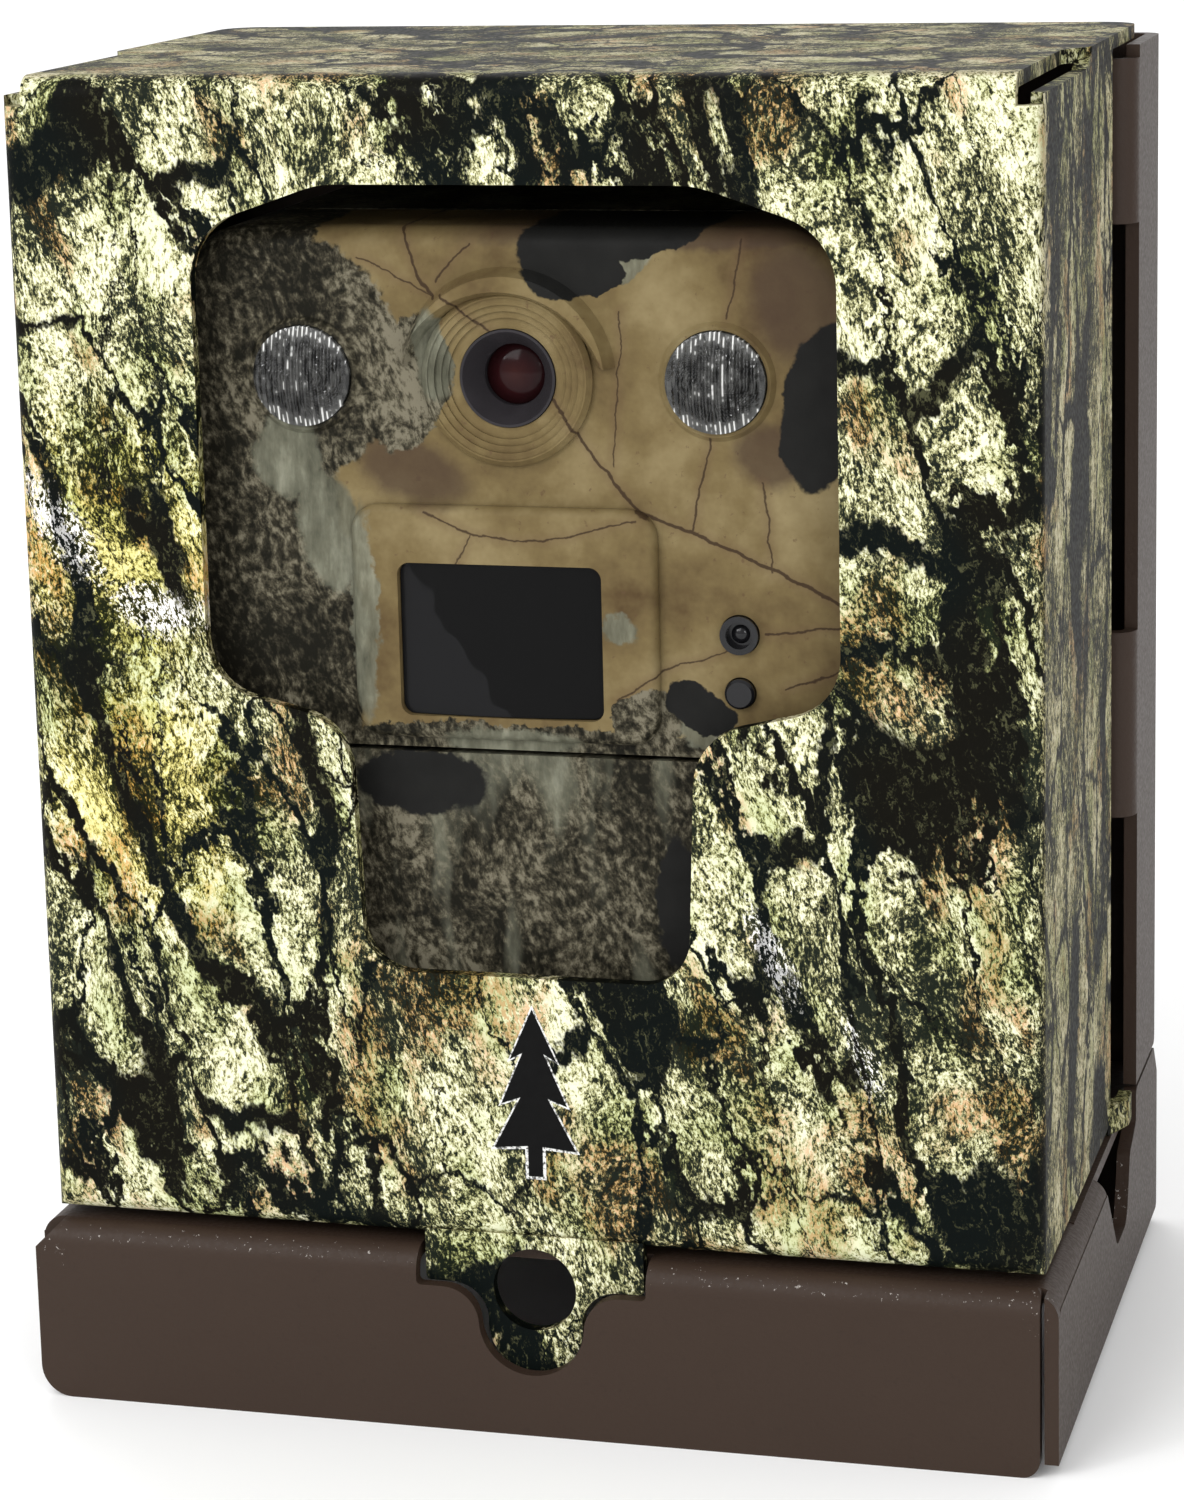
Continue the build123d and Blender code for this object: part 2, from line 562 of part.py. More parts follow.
def door_latch():
    """Side lever that snaps over the door's edge and swings outwards."""
    y = LATCH_PIVOT_Y - 4.5
    side_x = CAM_X + CAM_HALF
    low, high = LATCH_Z
    lever = rod_z(LATCH_PIVOT_X, y, 2.3, low, high)
    arm = rounded_polygon([
        (side_x + 0.4, y, 0), (LATCH_PIVOT_X + 2.3, y, 0),
        (side_x + 4.0, FACE_Y + 2.6, 1.2), (side_x + 2.2, FACE_Y + 2.2, 0.6),
        (side_x - 1.1, FACE_Y + 4.0, 0.3), (side_x - 1.1, FACE_Y + 5.6, 0.3),
        (side_x + 0.4, FACE_Y + 6.4, 0.3)])
    lever += slab_z(arm, low, high)
    return lever - rod_z(LATCH_PIVOT_X, y, LATCH_PIN_R + PIN_FIT, low - 1, high + 1)


def latch_pin():
    """Pin that the latch swings on."""
    return rod_z(LATCH_PIVOT_X, LATCH_PIVOT_Y - 4.5, LATCH_PIN_R, LATCH_Z[0] - 3.0, LATCH_Z[1] + 3.0)


# ---- Optics and sensors ------------------------------------------------------------
def lens_barrel():
    """Black stepped lens tube with a flange behind the face."""
    barrel = rod_y(CAM_X, EYE_Z, LENS_R, LENS_FRONT, -24.0)
    barrel += rod_y(CAM_X, EYE_Z, 7.4, FACE_Y + WALL + 0.1, FACE_Y + WALL + 1.6)
    barrel -= rod_y(CAM_X, EYE_Z, LENS_THROAT, LENS_FRONT - 1, -23.0)
    funnel = Cone(LENS_THROAT, LENS_R - 0.3, FUNNEL)
    return barrel - Pos(CAM_X, LENS_FRONT + FUNNEL / 2, EYE_Z) * Rot(90, 0, 0) * funnel


def lens_element(rear_y, thickness, crown):
    """One glass element, bulging towards the front."""
    radius = LENS_THROAT - 0.05
    disc = rod_y(CAM_X, EYE_Z, radius, rear_y - thickness, rear_y)
    ball_r = (radius ** 2 + crown ** 2) / (2 * crown)
    ball = Pos(CAM_X, rear_y - thickness - crown + ball_r, EYE_Z) * Sphere(ball_r)
    cap = ball & rod_y(CAM_X, EYE_Z, radius, rear_y - thickness - crown - 1, rear_y - thickness)
    return disc + cap


def emitter_lens(x):
    """Clear domed and fluted cap over one infrared emitter."""
    dome = rod_y(x, EYE_Z, EMITTER_R, FACE_Y - 1.2, FACE_Y + 3.0)
    ball_r = (EMITTER_R ** 2 + 1.6 ** 2) / (2 * 1.6)
    ball = Pos(x, FACE_Y - 2.8 + ball_r, EYE_Z) * Sphere(ball_r)
    dome += ball & rod_y(x, EYE_Z, EMITTER_R, FACE_Y - 4, FACE_Y - 1.2)
    return dome - rod_y(x, EYE_Z, EMITTER_R - 1.2, FACE_Y + 0.6, FACE_Y + 3.5)


def emitter_reflector(x):
    """Bright cup behind one emitter's cap."""
    cup = rod_y(x, EYE_Z, EMITTER_R, FACE_Y + 3.1, FACE_Y + 8.0)
    bowl = Pos(x, FACE_Y + 5.05, EYE_Z) * Rot(90, 0, 0) * Cone(2.0, 4.9, 3.9)
    return cup - bowl


def emitter_led(x):
    """Infrared diode on its base, in the middle of the cup."""
    led = rod_y(x, EYE_Z, 1.9, FACE_Y + 4.5, FACE_Y + 6.9)
    return led + Pos(x, FACE_Y + 4.5, EYE_Z) * Sphere(1.5)


def pir_window():
    """Thin black Fresnel window, slightly bowed, with a retaining flange."""
    bow_r = 110.0
    front = FACE_Y - 1.3
    outer = rod_z(PIR_X, front + bow_r, bow_r, PIR_Z - 15, PIR_Z + 15)
    inner = rod_z(PIR_X, front + bow_r, bow_r - 1.0, PIR_Z - 15, PIR_Z + 15)
    skin = slab_y(pir_face(0), FACE_Y - 4, FACE_Y + 2.4) & (outer - inner)
    rim = slab_y(pir_face(0), FACE_Y - 3.0, FACE_Y + 2.4)
    rim -= slab_y(pir_face(-1.2), FACE_Y - 4, FACE_Y + 3)
    rim &= outer
    flange = slab_y(pir_face(1.6), FACE_Y + WALL + 0.1, FACE_Y + WALL + 1.1)
    flange -= slab_y(pir_face(-1.2), FACE_Y, FACE_Y + 6)
    return skin + rim + flange


def pir_sensor():
    """Metal-can heat sensor with its square window."""
    can = rod_y(PIR_X, PIR_Z, 4.1, -27.0, -22.8)
    can += rod_y(PIR_X, PIR_Z, 4.6, -22.8, -22.2)
    return can - block(PIR_X - 2, PIR_X + 2, -27.5, -26.7, PIR_Z - 1.5, PIR_Z + 1.5)


def light_sensor():
    """Round daylight sensor window."""
    x = CAM_X + SENSOR_DX
    lens = rod_y(x, SENSOR_Z, 2.3, FACE_Y - 0.7, FACE_Y + 2.6)
    lens -= rod_y(x, SENSOR_Z, 1.6, FACE_Y - 1, FACE_Y + 0.5)
    lens += Pos(x, FACE_Y + 1.6, SENSOR_Z) * Sphere(1.58)
    return lens + rod_y(x, SENSOR_Z, 3.0, FACE_Y + WALL + 0.1, FACE_Y + WALL + 1.0)


def status_led():
    """Small round indicator standing just out of the face."""
    x = CAM_X + SENSOR_DX
    led = rod_y(x, LED_Z, 1.8, FACE_Y - 1.0, FACE_Y + 2.6)
    led = chamfer(led.edges().sort_by(Axis.Y)[0], 0.3)
    return led + rod_y(x, LED_Z, 2.4, FACE_Y + WALL + 0.1, FACE_Y + WALL + 1.0)


def filter_frame():
    """Track behind the lens that the infrared filter slides in."""
    frame = block(CAM_X - 8.5, CAM_X + 20.5, -23.6, -20.4, EYE_Z - 8.0, EYE_Z + 8.0)
    frame -= block(CAM_X - 7.4, CAM_X + 19.4, -22.6, -21.4, EYE_Z - 6.2, EYE_Z + 6.2)
    return frame - block(CAM_X - 4.6, CAM_X + 4.6, -24, -20, EYE_Z - 4.6, EYE_Z + 4.6)


def ir_cut_filter():
    """Thin glass filter that moves out of the light path at night."""
    return block(CAM_X - 6.0, CAM_X + 6.0, -22.3, -21.7, EYE_Z - 5.8, EYE_Z + 5.8)


def sensor_board():
    """Small board carrying the image sensor behind the filter."""
    board = block(CAM_X - 12, CAM_X + 12, -18.9, -17.5, EYE_Z - 11, EYE_Z + 11)
    chip = block(CAM_X - 4.5, CAM_X + 4.5, -20.2, -18.9, EYE_Z - 3.8, EYE_Z + 3.8)
    return board + chip


def front_board():
    """Board behind the emitters and the heat sensor."""
    board = block(CAM_X - 36, CAM_X + 36, -22.2, -20.8, 86.8, 118.5)
    for x in (-24, 24):
        board += block(CAM_X + x - 5, CAM_X + x + 5, -20.8, -18.6, 94, 104)
    return board


def main_board():
    """Main circuit board with its processor and memory."""
    board = block(CAM_X - 34, CAM_X + 34, -14.5, -12.9, 84.0, 133.0)
    board += block(CAM_X - 10, CAM_X + 8, -12.9, -11.1, 98, 116)
    board += block(CAM_X + 14, CAM_X + 26, -12.9, -11.7, 100, 110)
    board += block(CAM_X - 28, CAM_X - 18, -12.9, -7.9, 90, 104)
    return board


# ---- Control panel pieces ----------------------------------------------------------
def screen_face(grow):
    """The viewing screen's outline."""
    x0, x1, z0, z1 = SCREEN
    return rounded_rectangle(CAM_X + x0 - grow, CAM_X + x1 + grow, z0 - grow, z1 + grow, 1.0 + grow)


def viewing_screen():
    """Small display set into the panel."""
    return slab_y(screen_face(0), PANEL_Y - 0.3, PANEL_Y + 1.2)


def button_places():
    """Each button's name with its place on the panel."""
    return {
        "button_up": (PAD_DX, PAD_Z + PAD_STEP),
        "button_down": (PAD_DX, PAD_Z - PAD_STEP),
        "button_left": (PAD_DX - PAD_STEP, PAD_Z),
        "button_right": (PAD_DX + PAD_STEP, PAD_Z),
        "button_ok": (PAD_DX, PAD_Z),
        "button_power": (POWER_DX, POWER_Z),
    }


def push_button(dx, z):
    """One key cap with its stop flange behind the panel."""
    x = CAM_X + dx
    cap = rod_y(x, z, BUTTON_R, PANEL_Y - 1.8, PANEL_Y + PANEL_T + 0.9)
    cap = chamfer(cap.edges().sort_by(Axis.Y)[0], 0.5)
    return cap + rod_y(x, z, 3.3, PANEL_Y + PANEL_T + 0.1, PANEL_Y + PANEL_T + 0.9)


def keypad_board():
    """Board with the switches under the buttons."""
    return block(CAM_X + 8, CAM_X + 38.5, -21.5, -20.3, 57.0, 82.0)


def card_reader():
    """Socket block on the panel, open to the left."""
    x0, x1, z0, z1 = CARD
    socket = block(CAM_X + x0 + 3, CAM_X + x1 + 1.6, -29.4, PANEL_Y, z0 - 1.2, z1 + 0.4)
    slot = block(CAM_X + x0, CAM_X + x1 + 0.3, CARD_Y[0] - 0.15, CARD_Y[1] + 0.15, z0 - 0.15, z1 + 0.15)
    return socket - slot


def memory_card():
    """Full-size memory card with its clipped corner."""
    x0, x1, z0, z1 = CARD
    face = rounded_polygon([
        (CAM_X + x0, z0, 0.8), (CAM_X + x1 - 3.5, z0, 0), (CAM_X + x1, z0 + 3.5, 0),
        (CAM_X + x1, z1, 0.8), (CAM_X + x0, z1, 0.8)])
    return slab_y(face, CARD_Y[0], CARD_Y[1])


# ---- Power --------------------------------------------------------------------------
def battery_tray():
    """Open-fronted tray for two columns of cells; its end closes the left wall."""
    left = CAM_X - CAM_HALF
    end = CAM_X + BAY_HALF
    y0, y1 = BAY_Y
    z0, z1 = BAY_Z
    room = BATTERY_L / 2 + 0.9
    tray = block(left, end, y0, y1, z0, z1)
    tray -= block(CAM_X - room, CAM_X + room, y0 - 1, y1 - 1.4, z0 + 1.6, z1 - 1.6)
    tray -= block(left + WALL, CAM_X - room - 1.8, y0 - 1, y1 - 1.4, z0 + 1.6, z1 - 1.6)
    # finger grip cut into the end face
    return tray - block(left - 1, left + 1.2, -2.0, 10.0, BAY_Z[0] + 3, BAY_Z[0] + 9)


def batteries():
    """Six AA cells lying across the tray, each with its positive nub."""
    cells = []
    for row, z in enumerate(BATTERY_Z):
        for column, y in enumerate(BATTERY_Y):
            way = 1 if (row + column) % 2 else -1
            cell = rod_x(y, z, BATTERY_R, CAM_X - BATTERY_L / 2, CAM_X + BATTERY_L / 2 - 1.5)
            cell += rod_x(y, z, 2.7, CAM_X + BATTERY_L / 2 - 1.5, CAM_X + BATTERY_L / 2)
            if way < 0:
                cell = mirror(cell, about=Plane.YZ.offset(CAM_X))
            cells.append(cell)
    return Compound(children=cells)


def contact_strips(side):
    """Sprung brass strips that join the cells at one end of the tray."""
    x = CAM_X + side * BATTERY_L / 2
    strips = []
    for z in BATTERY_Z:
        for y in BATTERY_Y:
            x0, x1 = sorted((x, x + side * 0.9))
            strips.append(block(x0, x1, y - 5, y + 5, z - 5, z + 5))
    return Compound(children=strips)


def eject_button():
    """Sprung button on the left side that frees the battery tray."""
    left = CAM_X - CAM_HALF
    cap = rod_x(SIDE_PLUG_Y, EJECT_Z, 3.5, left - 1.4, left + WALL + 0.9)
    return cap + rod_x(SIDE_PLUG_Y, EJECT_Z, 4.3, left + WALL + 0.1, left + WALL + 0.9)


def power_plug():
    """Rubber bung in the outside power socket."""
    left = CAM_X - CAM_HALF
    plug = rod_x(SIDE_PLUG_Y, SIDE_PLUG_Z, 3.6, left - 0.2, left + 5.0)
    head = rod_x(SIDE_PLUG_Y, SIDE_PLUG_Z, 5.4, left - 2.0, left - 0.1)
    return plug + fillet(head.edges().sort_by(Axis.X)[0], 0.8)


def power_socket():
    """Barrel socket behind the rubber bung."""
    left = CAM_X - CAM_HALF
    body = block(left + WALL + 0.1, left + 11.0, SIDE_PLUG_Y - 5.2, SIDE_PLUG_Y + 5.2,
                 SIDE_PLUG_Z - 5.2, SIDE_PLUG_Z + 5.2)
    return body - rod_x(SIDE_PLUG_Y, SIDE_PLUG_Z, 3.9, left, left + 9.0)


# ---- Rear bracket -------------------------------------------------------------------
def rear_bracket():
    """Moulded bracket on the camera's back: strap loops and a threaded boss."""
    z0, z1 = BRACKET_Z
    rear = BACK_Y - SHEET
    face = rounded_rectangle(CAM_X - BRACKET_HALF, CAM_X + BRACKET_HALF, z0, z1, 4.0)
    bracket = slab_y(face, REAR_Y, REAR_Y + 3.0)
    for side in (-1, 1):
        x0, x1 = sorted((CAM_X + side * 17.0, CAM_X + side * 21.0))
        rib = rounded_polygon([
            (REAR_Y + 2.0, z0 + 4, 0), (rear, z0 + 14, 3.0),
            (rear, z1 - 14, 3.0), (REAR_Y + 2.0, z1 - 4, 0)])
        bracket += slab_x(rib, x0, x1)
        bracket -= slab_x(rounded_rectangle(REAR_Y + 6.5, REAR_Y + 13.0, 76, 108, 2.0), x0 - 1, x1 + 1)
    bracket += rod_y(CAM_X, INSERT_Z, 8.0, REAR_Y + 2.0, rear)
    return bracket - rod_y(CAM_X, INSERT_Z, INSERT_R, rear - INSERT_L, rear + 1)


def tripod_insert():
    """Brass 1/4 inch threaded insert in the bracket's boss."""
    rear = BACK_Y - SHEET
    insert = rod_y(CAM_X, INSERT_Z, INSERT_R, rear - INSERT_L, rear)
    return insert - rod_y(CAM_X, INSERT_Z, INSERT_BORE_R, rear - INSERT_L - 1, rear + 1)


# ---- Every sub-part, by node name -----------------------------------------------------
def build_parts():
    left_x, right_x = CAM_X - EMITTER_DX, CAM_X + EMITTER_DX
    parts = {
        "front_cover": front_cover(),
        "back_shell": back_shell(),
        "base_tray": base_tray(),
        "front_housing": front_housing(),
        "rear_housing": rear_housing(),
        "housing_gasket": housing_gasket(),
        "housing_screws": housing_screws(),
        "service_door": service_door(),
        "door_hinge_pin": door_hinge_pin(),
        "door_latch": door_latch(),
        "latch_pin": latch_pin(),
        "lens_barrel": lens_barrel(),
        "front_lens": lens_element(LENS_FRONT + FUNNEL + 2.2, 1.2, 0.9),
        "rear_lens": lens_element(-27.0, 2.4, 0.6),
        "ir_lens_left": emitter_lens(left_x),
        "ir_lens_right": emitter_lens(right_x),
        "ir_reflector_left": emitter_reflector(left_x),
        "ir_reflector_right": emitter_reflector(right_x),
        "ir_led_left": emitter_led(left_x),
        "ir_led_right": emitter_led(right_x),
        "pir_window": pir_window(),
        "pir_sensor": pir_sensor(),
        "light_sensor": light_sensor(),
        "status_led": status_led(),
        "filter_frame": filter_frame(),
        "ir_cut_filter": ir_cut_filter(),
        "sensor_board": sensor_board(),
        "front_board": front_board(),
        "main_board": main_board(),
        "viewing_screen": viewing_screen(),
        "keypad_board": keypad_board(),
        "card_reader": card_reader(),
        "memory_card": memory_card(),
        "battery_tray": battery_tray(),
        "batteries": batteries(),
        "contacts_left": contact_strips(-1),
        "contacts_right": contact_strips(1),
        "eject_button": eject_button(),
        "power_plug": power_plug(),
        "power_socket": power_socket(),
        "rear_bracket": rear_bracket(),
        "tripod_insert": tripod_insert(),
    }
    for name, (dx, z) in button_places().items():
        parts[name] = push_button(dx, z)
    return parts


os.makedirs("parts", exist_ok=True)
for node, shape in build_parts().items():
    export_step(shape, f"parts/{node}.step")
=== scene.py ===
import bpy, bmesh, math
from mathutils import Vector, Matrix


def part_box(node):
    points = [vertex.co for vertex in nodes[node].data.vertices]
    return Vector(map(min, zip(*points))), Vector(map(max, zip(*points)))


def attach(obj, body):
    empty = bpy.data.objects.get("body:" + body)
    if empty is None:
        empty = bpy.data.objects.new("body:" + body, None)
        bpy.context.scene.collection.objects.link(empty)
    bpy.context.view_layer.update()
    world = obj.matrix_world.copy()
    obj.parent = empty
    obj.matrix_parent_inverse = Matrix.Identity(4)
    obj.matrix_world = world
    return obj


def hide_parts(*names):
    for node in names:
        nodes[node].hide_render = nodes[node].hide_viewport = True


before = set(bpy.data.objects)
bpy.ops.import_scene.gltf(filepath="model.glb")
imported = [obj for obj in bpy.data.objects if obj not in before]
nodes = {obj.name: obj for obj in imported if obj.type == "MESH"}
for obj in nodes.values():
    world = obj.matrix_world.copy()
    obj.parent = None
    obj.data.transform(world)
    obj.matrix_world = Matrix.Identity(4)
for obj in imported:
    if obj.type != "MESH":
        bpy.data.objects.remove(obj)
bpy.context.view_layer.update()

ROOT = "box_and_camera"          # the body that the box and the camera ride on
CAM_X = -1.9                     # the camera's upright centre line, mm
EYE_Z, EMITTER_DX = 128.8, 25.2  # lens height, and the emitters' offset to each side of it, mm
APRON_TOP, APRON_X = 21.6, 61.5  # the brown apron's fold line and its corners, mm
COVER_FACE_Y = -43.0             # the cover's outer front face, mm

# ---------------------------------------------------------------- node helpers
class Graph:
    """Builds a material's node tree; sockets and numbers mix freely as inputs."""

    def __init__(self, name):
        self.mat = bpy.data.materials.new(name)
        self.mat.use_nodes = True
        self.tree = self.mat.node_tree
        self.tree.nodes.clear()
        self.out = self.tree.nodes.new("ShaderNodeOutputMaterial")
        coords = self.tree.nodes.new("ShaderNodeTexCoord")
        # object coordinates in millimetres, since every mesh is in the row frame
        self.mm = self.vmath("SCALE", coords.outputs["Object"], scale=1000.0)
        self.normal = coords.outputs["Normal"]

    def put(self, socket, value):
        if isinstance(value, bpy.types.NodeSocket):
            self.tree.links.new(value, socket)
        elif value is not None:
            if isinstance(value, (tuple, list)) and socket.type == "RGBA" and len(value) == 3:
                value = (*value, 1.0)
            socket.default_value = value

    def math(self, op, a, b=None, clamp=False):
        n = self.tree.nodes.new("ShaderNodeMath")
        n.operation, n.use_clamp = op, clamp
        self.put(n.inputs[0], a)
        self.put(n.inputs[1], b)
        return n.outputs[0]

    def vmath(self, op, a, b=None, scale=None):
        n = self.tree.nodes.new("ShaderNodeVectorMath")
        n.operation = op
        self.put(n.inputs[0], a)
        if b is not None:
            self.put(n.inputs[1], b)
        if scale is not None:
            self.put(n.inputs["Scale"], scale)
        return n.outputs["Value" if op in ("LENGTH", "DOT_PRODUCT", "DISTANCE") else "Vector"]

    def add(self, a, b):
        return self.math("ADD", a, b)

    def sub(self, a, b):
        return self.math("SUBTRACT", a, b)

    def mul(self, a, b):
        return self.math("MULTIPLY", a, b)

    def map(self, vec, scale=(1, 1, 1), rot=(0, 0, 0), loc=(0, 0, 0)):
        n = self.tree.nodes.new("ShaderNodeMapping")
        self.put(n.inputs["Vector"], vec)
        n.inputs["Location"].default_value = loc
        n.inputs["Rotation"].default_value = rot
        n.inputs["Scale"].default_value = scale
        return n.outputs[0]

    def noise(self, vec, scale, detail=3.0, rough=0.55, color=False):
        n = self.tree.nodes.new("ShaderNodeTexNoise")
        self.put(n.inputs["Vector"], vec)
        n.inputs["Scale"].default_value = scale
        n.inputs["Detail"].default_value = detail
        n.inputs["Roughness"].default_value = rough
        return n.outputs["Color" if color else "Fac"]

    def drift(self, vec, detail, rough):
        """Three-channel noise centred on zero, for pushing coordinates about."""
        return self.vmath("SUBTRACT", self.noise(vec, 1.0, detail, rough, color=True), (0.5, 0.5, 0.5))

    def push(self, vec, drift, amount):
        return self.vmath("ADD", vec, self.vmath("SCALE", drift, scale=amount))

    def push_xz(self, vec, drift, amount):
        """As push, but nothing moves along y."""
        flat = self.vmath("MULTIPLY", self.vmath("SCALE", drift, scale=amount), (1, 0, 1))
        return self.vmath("ADD", vec, flat)

    def voronoi(self, vec, feature="DISTANCE_TO_EDGE", out="Distance"):
        n = self.tree.nodes.new("ShaderNodeTexVoronoi")
        n.feature = feature
        self.put(n.inputs["Vector"], vec)
        n.inputs["Scale"].default_value = 1.0
        n.inputs["Randomness"].default_value = 1.0
        return n.outputs[out]

    def step(self, value, low, high, to0=0.0, to1=1.0):
        """A smooth step from to0 at low to to1 at high."""
        n = self.tree.nodes.new("ShaderNodeMapRange")
        n.interpolation_type = "SMOOTHSTEP"
        for name, v in (("Value", value), ("From Min", low), ("From Max", high),
                        ("To Min", to0), ("To Max", to1)):
            self.put(n.inputs[name], v)
        return n.outputs[0]

    def ramp(self, fac, stops):
        n = self.tree.nodes.new("ShaderNodeValToRGB")
        self.put(n.inputs[0], fac)
        ramp = n.color_ramp
        ramp.interpolation = "LINEAR"
        while len(ramp.elements) < len(stops):
            ramp.elements.new(1.0)
        for e, (pos, col) in zip(ramp.elements, stops):
            e.position = pos
            e.color = (*col, 1.0)
        return n.outputs[0]

    def mix(self, fac, a, b, blend="MIX"):
        n = self.tree.nodes.new("ShaderNodeMix")
        n.data_type, n.blend_type = "RGBA", blend
        self.put(n.inputs["Factor"], fac)
        self.put(n.inputs[6], a)
        self.put(n.inputs[7], b)
        return n.outputs[2]

    def xyz(self, vec):
        n = self.tree.nodes.new("ShaderNodeSeparateXYZ")
        self.put(n.inputs[0], vec)
        return n.outputs

    def vec(self, x, y, z):
        n = self.tree.nodes.new("ShaderNodeCombineXYZ")
        for i, v in enumerate((x, y, z)):
            self.put(n.inputs[i], v)
        return n.outputs[0]

    def bump(self, height, strength=0.3, distance=0.0001):
        n = self.tree.nodes.new("ShaderNodeBump")
        n.inputs["Strength"].default_value = strength
        n.inputs["Distance"].default_value = distance
        self.put(n.inputs["Height"], height)
        return n.outputs[0]

    def surface(self, **kw):
        n = self.tree.nodes.new("ShaderNodeBsdfPrincipled")
        for name, v in kw.items():
            self.put(n.inputs[name.replace("_", " ")], v)
        self.tree.links.new(n.outputs[0], self.out.inputs[0])
        return self.mat

    # the masks drawn on a face are laid out in the x-z plane, in millimetres
    def ellipse(self, x, z, cx, cz, rx, rz, turn=0.0):
        """0 at the centre of an ellipse, 1 on its outline."""
        c, s = math.cos(turn), math.sin(turn)
        dx, dz = self.sub(x, cx), self.sub(z, cz)
        a = self.mul(self.add(self.mul(dx, c), self.mul(dz, s)), 1.0 / rx)
        b = self.mul(self.sub(self.mul(dz, c), self.mul(dx, s)), 1.0 / rz)
        return self.math("SQRT", self.add(self.mul(a, a), self.mul(b, b)))

    def ellipses(self, x, z, shapes):
        """The least of several ellipses, each (cx, cz, rx, rz) or with a turn."""
        return self.least([self.ellipse(x, z, *shape) for shape in shapes])

    def least(self, values):
        best = values[0]
        for v in values[1:]:
            best = self.math("MINIMUM", best, v)
        return best

    def segment(self, p, a, b):
        """Distance from p to the segment a-b, all in the x-z plane."""
        a3, b3 = Vector((a[0], 0, a[1])), Vector((b[0], 0, b[1]))
        ba = b3 - a3
        pa = self.vmath("SUBTRACT", p, tuple(a3))
        dot = self.vmath("DOT_PRODUCT", pa, tuple(ba))
        h = self.math("MULTIPLY", dot, 1.0 / ba.dot(ba), clamp=True)
        along = self.vmath("SCALE", tuple(ba), scale=h)
        return self.vmath("LENGTH", self.vmath("SUBTRACT", pa, along))


# ---------------------------------------------------------------- materials
BARK_LEAN = math.radians(15)
FISSURE_BANDS = 4.4              # how many level lines of the noise become fissures


